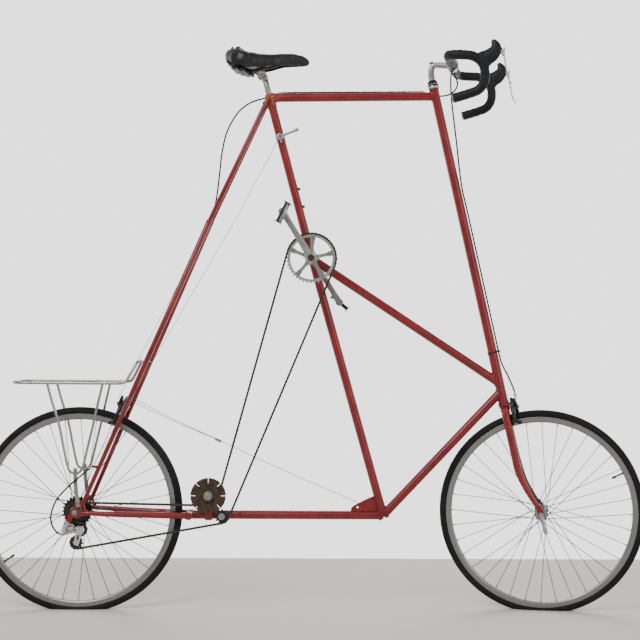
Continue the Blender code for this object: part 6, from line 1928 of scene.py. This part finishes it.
def build_bracing():
    """Two thin wires from the seatstays meet in a clamp and go on as one to the folded plate."""
    clamp = at(0.4495, 0.5666)
    way = side(0.9140 - 0.4495, 0.3600 - 0.5666)
    wires = []
    for sign in (-1, 1):
        y = sign * (stay_y(0.700) - 0.0092 - 0.0018)
        end = at(0.1600, 0.7000, y)
        sag = end.lerp(clamp, 0.5) - Vector((0, 0, 0.004))
        wires.append(sweep(smooth_route([end, sag, clamp + Y_AXIS * sign * 0.002, clamp + way * 0.016], 0.02),
                           0.0011, 8))
        loop_path = []
        for k in range(25):
            turn = 2 * math.pi * k / 24
            loop_path.append(at(0.1600, 0.7000, sign * stay_y(0.700))
                             + Vector((0.0108 * math.cos(turn), sign * 0.0100 * math.sin(turn),
                                       0.0008 * k / 4)))
        wires.append(sweep(loop_path, 0.0011, 8))
    end = at(0.9140, 0.3600, 0.0046)
    middle = clamp.lerp(end, 0.5) - Vector((0, 0, 0.003))
    wires.append(sweep(smooth_route([clamp - way * 0.014, clamp, middle, end, at(0.9100, 0.3510, 0.0036)],
                                    0.02),
                       0.0011, 8))
    piece("bracing_wires", merged(*wires), "frame", M["wire"], "steel", ["bracing_wire"])
    grip = [sweep([clamp - way * 0.0100, clamp + way * 0.0100], 0.0062, 20, start=Y_AXIS, flat=0.62,
                  square=0.6)]
    for s in (-1, 1):
        grip.append(hexagon(clamp + way * s * 0.0052 - way.cross(Y_AXIS) * 0.0030, -way.cross(Y_AXIS), 0.0064,
                            0.0036, 0.4))
    piece("bracing_clamp", merged(*grip), "frame", M["steel"], "steel")


# ---------------------------------------------------------------- stage
DIM_SKY = (0.44, 0.455, 0.47, 1.0)
PALE_SKY = (2.3, 2.34, 2.3, 1.0)


def build_world():
    """A soft surround: pale behind the bike, dimmer overhead and on the near side."""
    world = bpy.data.worlds.new("studio")
    world.use_nodes = True
    tree = world.node_tree
    way = tree.nodes.new("ShaderNodeTexCoord").outputs["Generated"]
    parts = tree.nodes.new("ShaderNodeSeparateXYZ")
    tree.links.new(way, parts.inputs[0])
    shares = []
    for axis, low, high in ((1, -0.25, 0.55), (2, 0.75, 0.25)):
        share = tree.nodes.new("ShaderNodeMapRange")
        tree.links.new(parts.outputs[axis], share.inputs["Value"])
        share.inputs["From Min"].default_value = low
        share.inputs["From Max"].default_value = high
        shares.append(share.outputs[0])
    both = tree.nodes.new("ShaderNodeMath")
    both.operation = "MULTIPLY"
    tree.links.new(shares[0], both.inputs[0])
    tree.links.new(shares[1], both.inputs[1])
    blend = tree.nodes.new("ShaderNodeMix")
    blend.data_type = "RGBA"
    tree.links.new(both.outputs[0], blend.inputs["Factor"])
    blend.inputs[6].default_value = DIM_SKY
    blend.inputs[7].default_value = PALE_SKY
    tree.links.new(blend.outputs[2], tree.nodes["Background"].inputs["Color"])
    tree.nodes["Background"].inputs["Strength"].default_value = 1.0
    bpy.context.scene.world = world


LAMPS = (
    # name, place, size across, power in watts
    ("key", (-2.2, -3.2, 4.2), 2.6, 190.0),
    ("fill", (3.4, -3.6, 2.2), 3.0, 70.0),
    ("back", (0.6, 3.6, 3.4), 3.0, 120.0),
)
LAMPS_AIM = Vector((0.0, 0.0, 0.95))


def build_stage():
    floor_material = Nodes("studio_floor", (0.60, 0.575, 0.52), 0.0, 0.75)
    mesh = bpy.data.meshes.new("floor")
    half, near, far = 9.0, -9.0, 0.85
    corners = [(-half, near, GROUND), (half, near, GROUND), (half, far, GROUND), (-half, far, GROUND)]
    mesh.from_pydata([Vector(c) for c in corners], [], [(0, 1, 2, 3)])
    floor = bpy.data.objects.new("floor", mesh)
    floor.data.materials.append(floor_material.made)
    bpy.context.scene.collection.objects.link(floor)
    build_world()
    for name, place, size, power in LAMPS:
        light = bpy.data.lights.new(name, "AREA")
        light.size = size
        light.energy = power
        lamp = bpy.data.objects.new(name, light)
        lamp.location = place
        lamp.rotation_euler = (LAMPS_AIM - Vector(place)).to_track_quat("-Z", "Y").to_euler()
        bpy.context.scene.collection.objects.link(lamp)


def build_camera():
    data = bpy.data.cameras.new("camera")
    data.lens = 68.89
    data.sensor_width = 36.0
    data.shift_x = -0.12
    data.shift_y = -0.05
    camera = bpy.data.objects.new("camera", data)
    camera.location = (0.2014, -4.0447, 0.9695)
    camera.rotation_euler = [math.radians(a) for a in (91.418, -0.398, -1.067)]
    bpy.context.scene.collection.objects.link(camera)
    bpy.context.scene.camera = camera


def main():
    build_camera()
    build_stage()
    build_main_tubes()
    build_stays()
    build_headset()
    build_wheel("front", FRONT, (-0.0340, 0.0340), "front_wheel", "steering", math.radians(27))
    build_wheel("rear", REAR, (-0.0185, 0.0340), "rear_wheel", "frame", math.radians(215))
    build_rear_axle()
    build_front_axle()
    build_chain()
    build_crankset()
    build_freewheel()
    build_idler()
    build_derailleur()
    build_fork()
    build_bars()
    build_stem()
    for name, sign in (("right", -1), ("left", 1)):
        build_lever(name, sign)
    build_brakes()
    build_seat()
    build_rack()
    build_shifter()
    build_cables()


main()
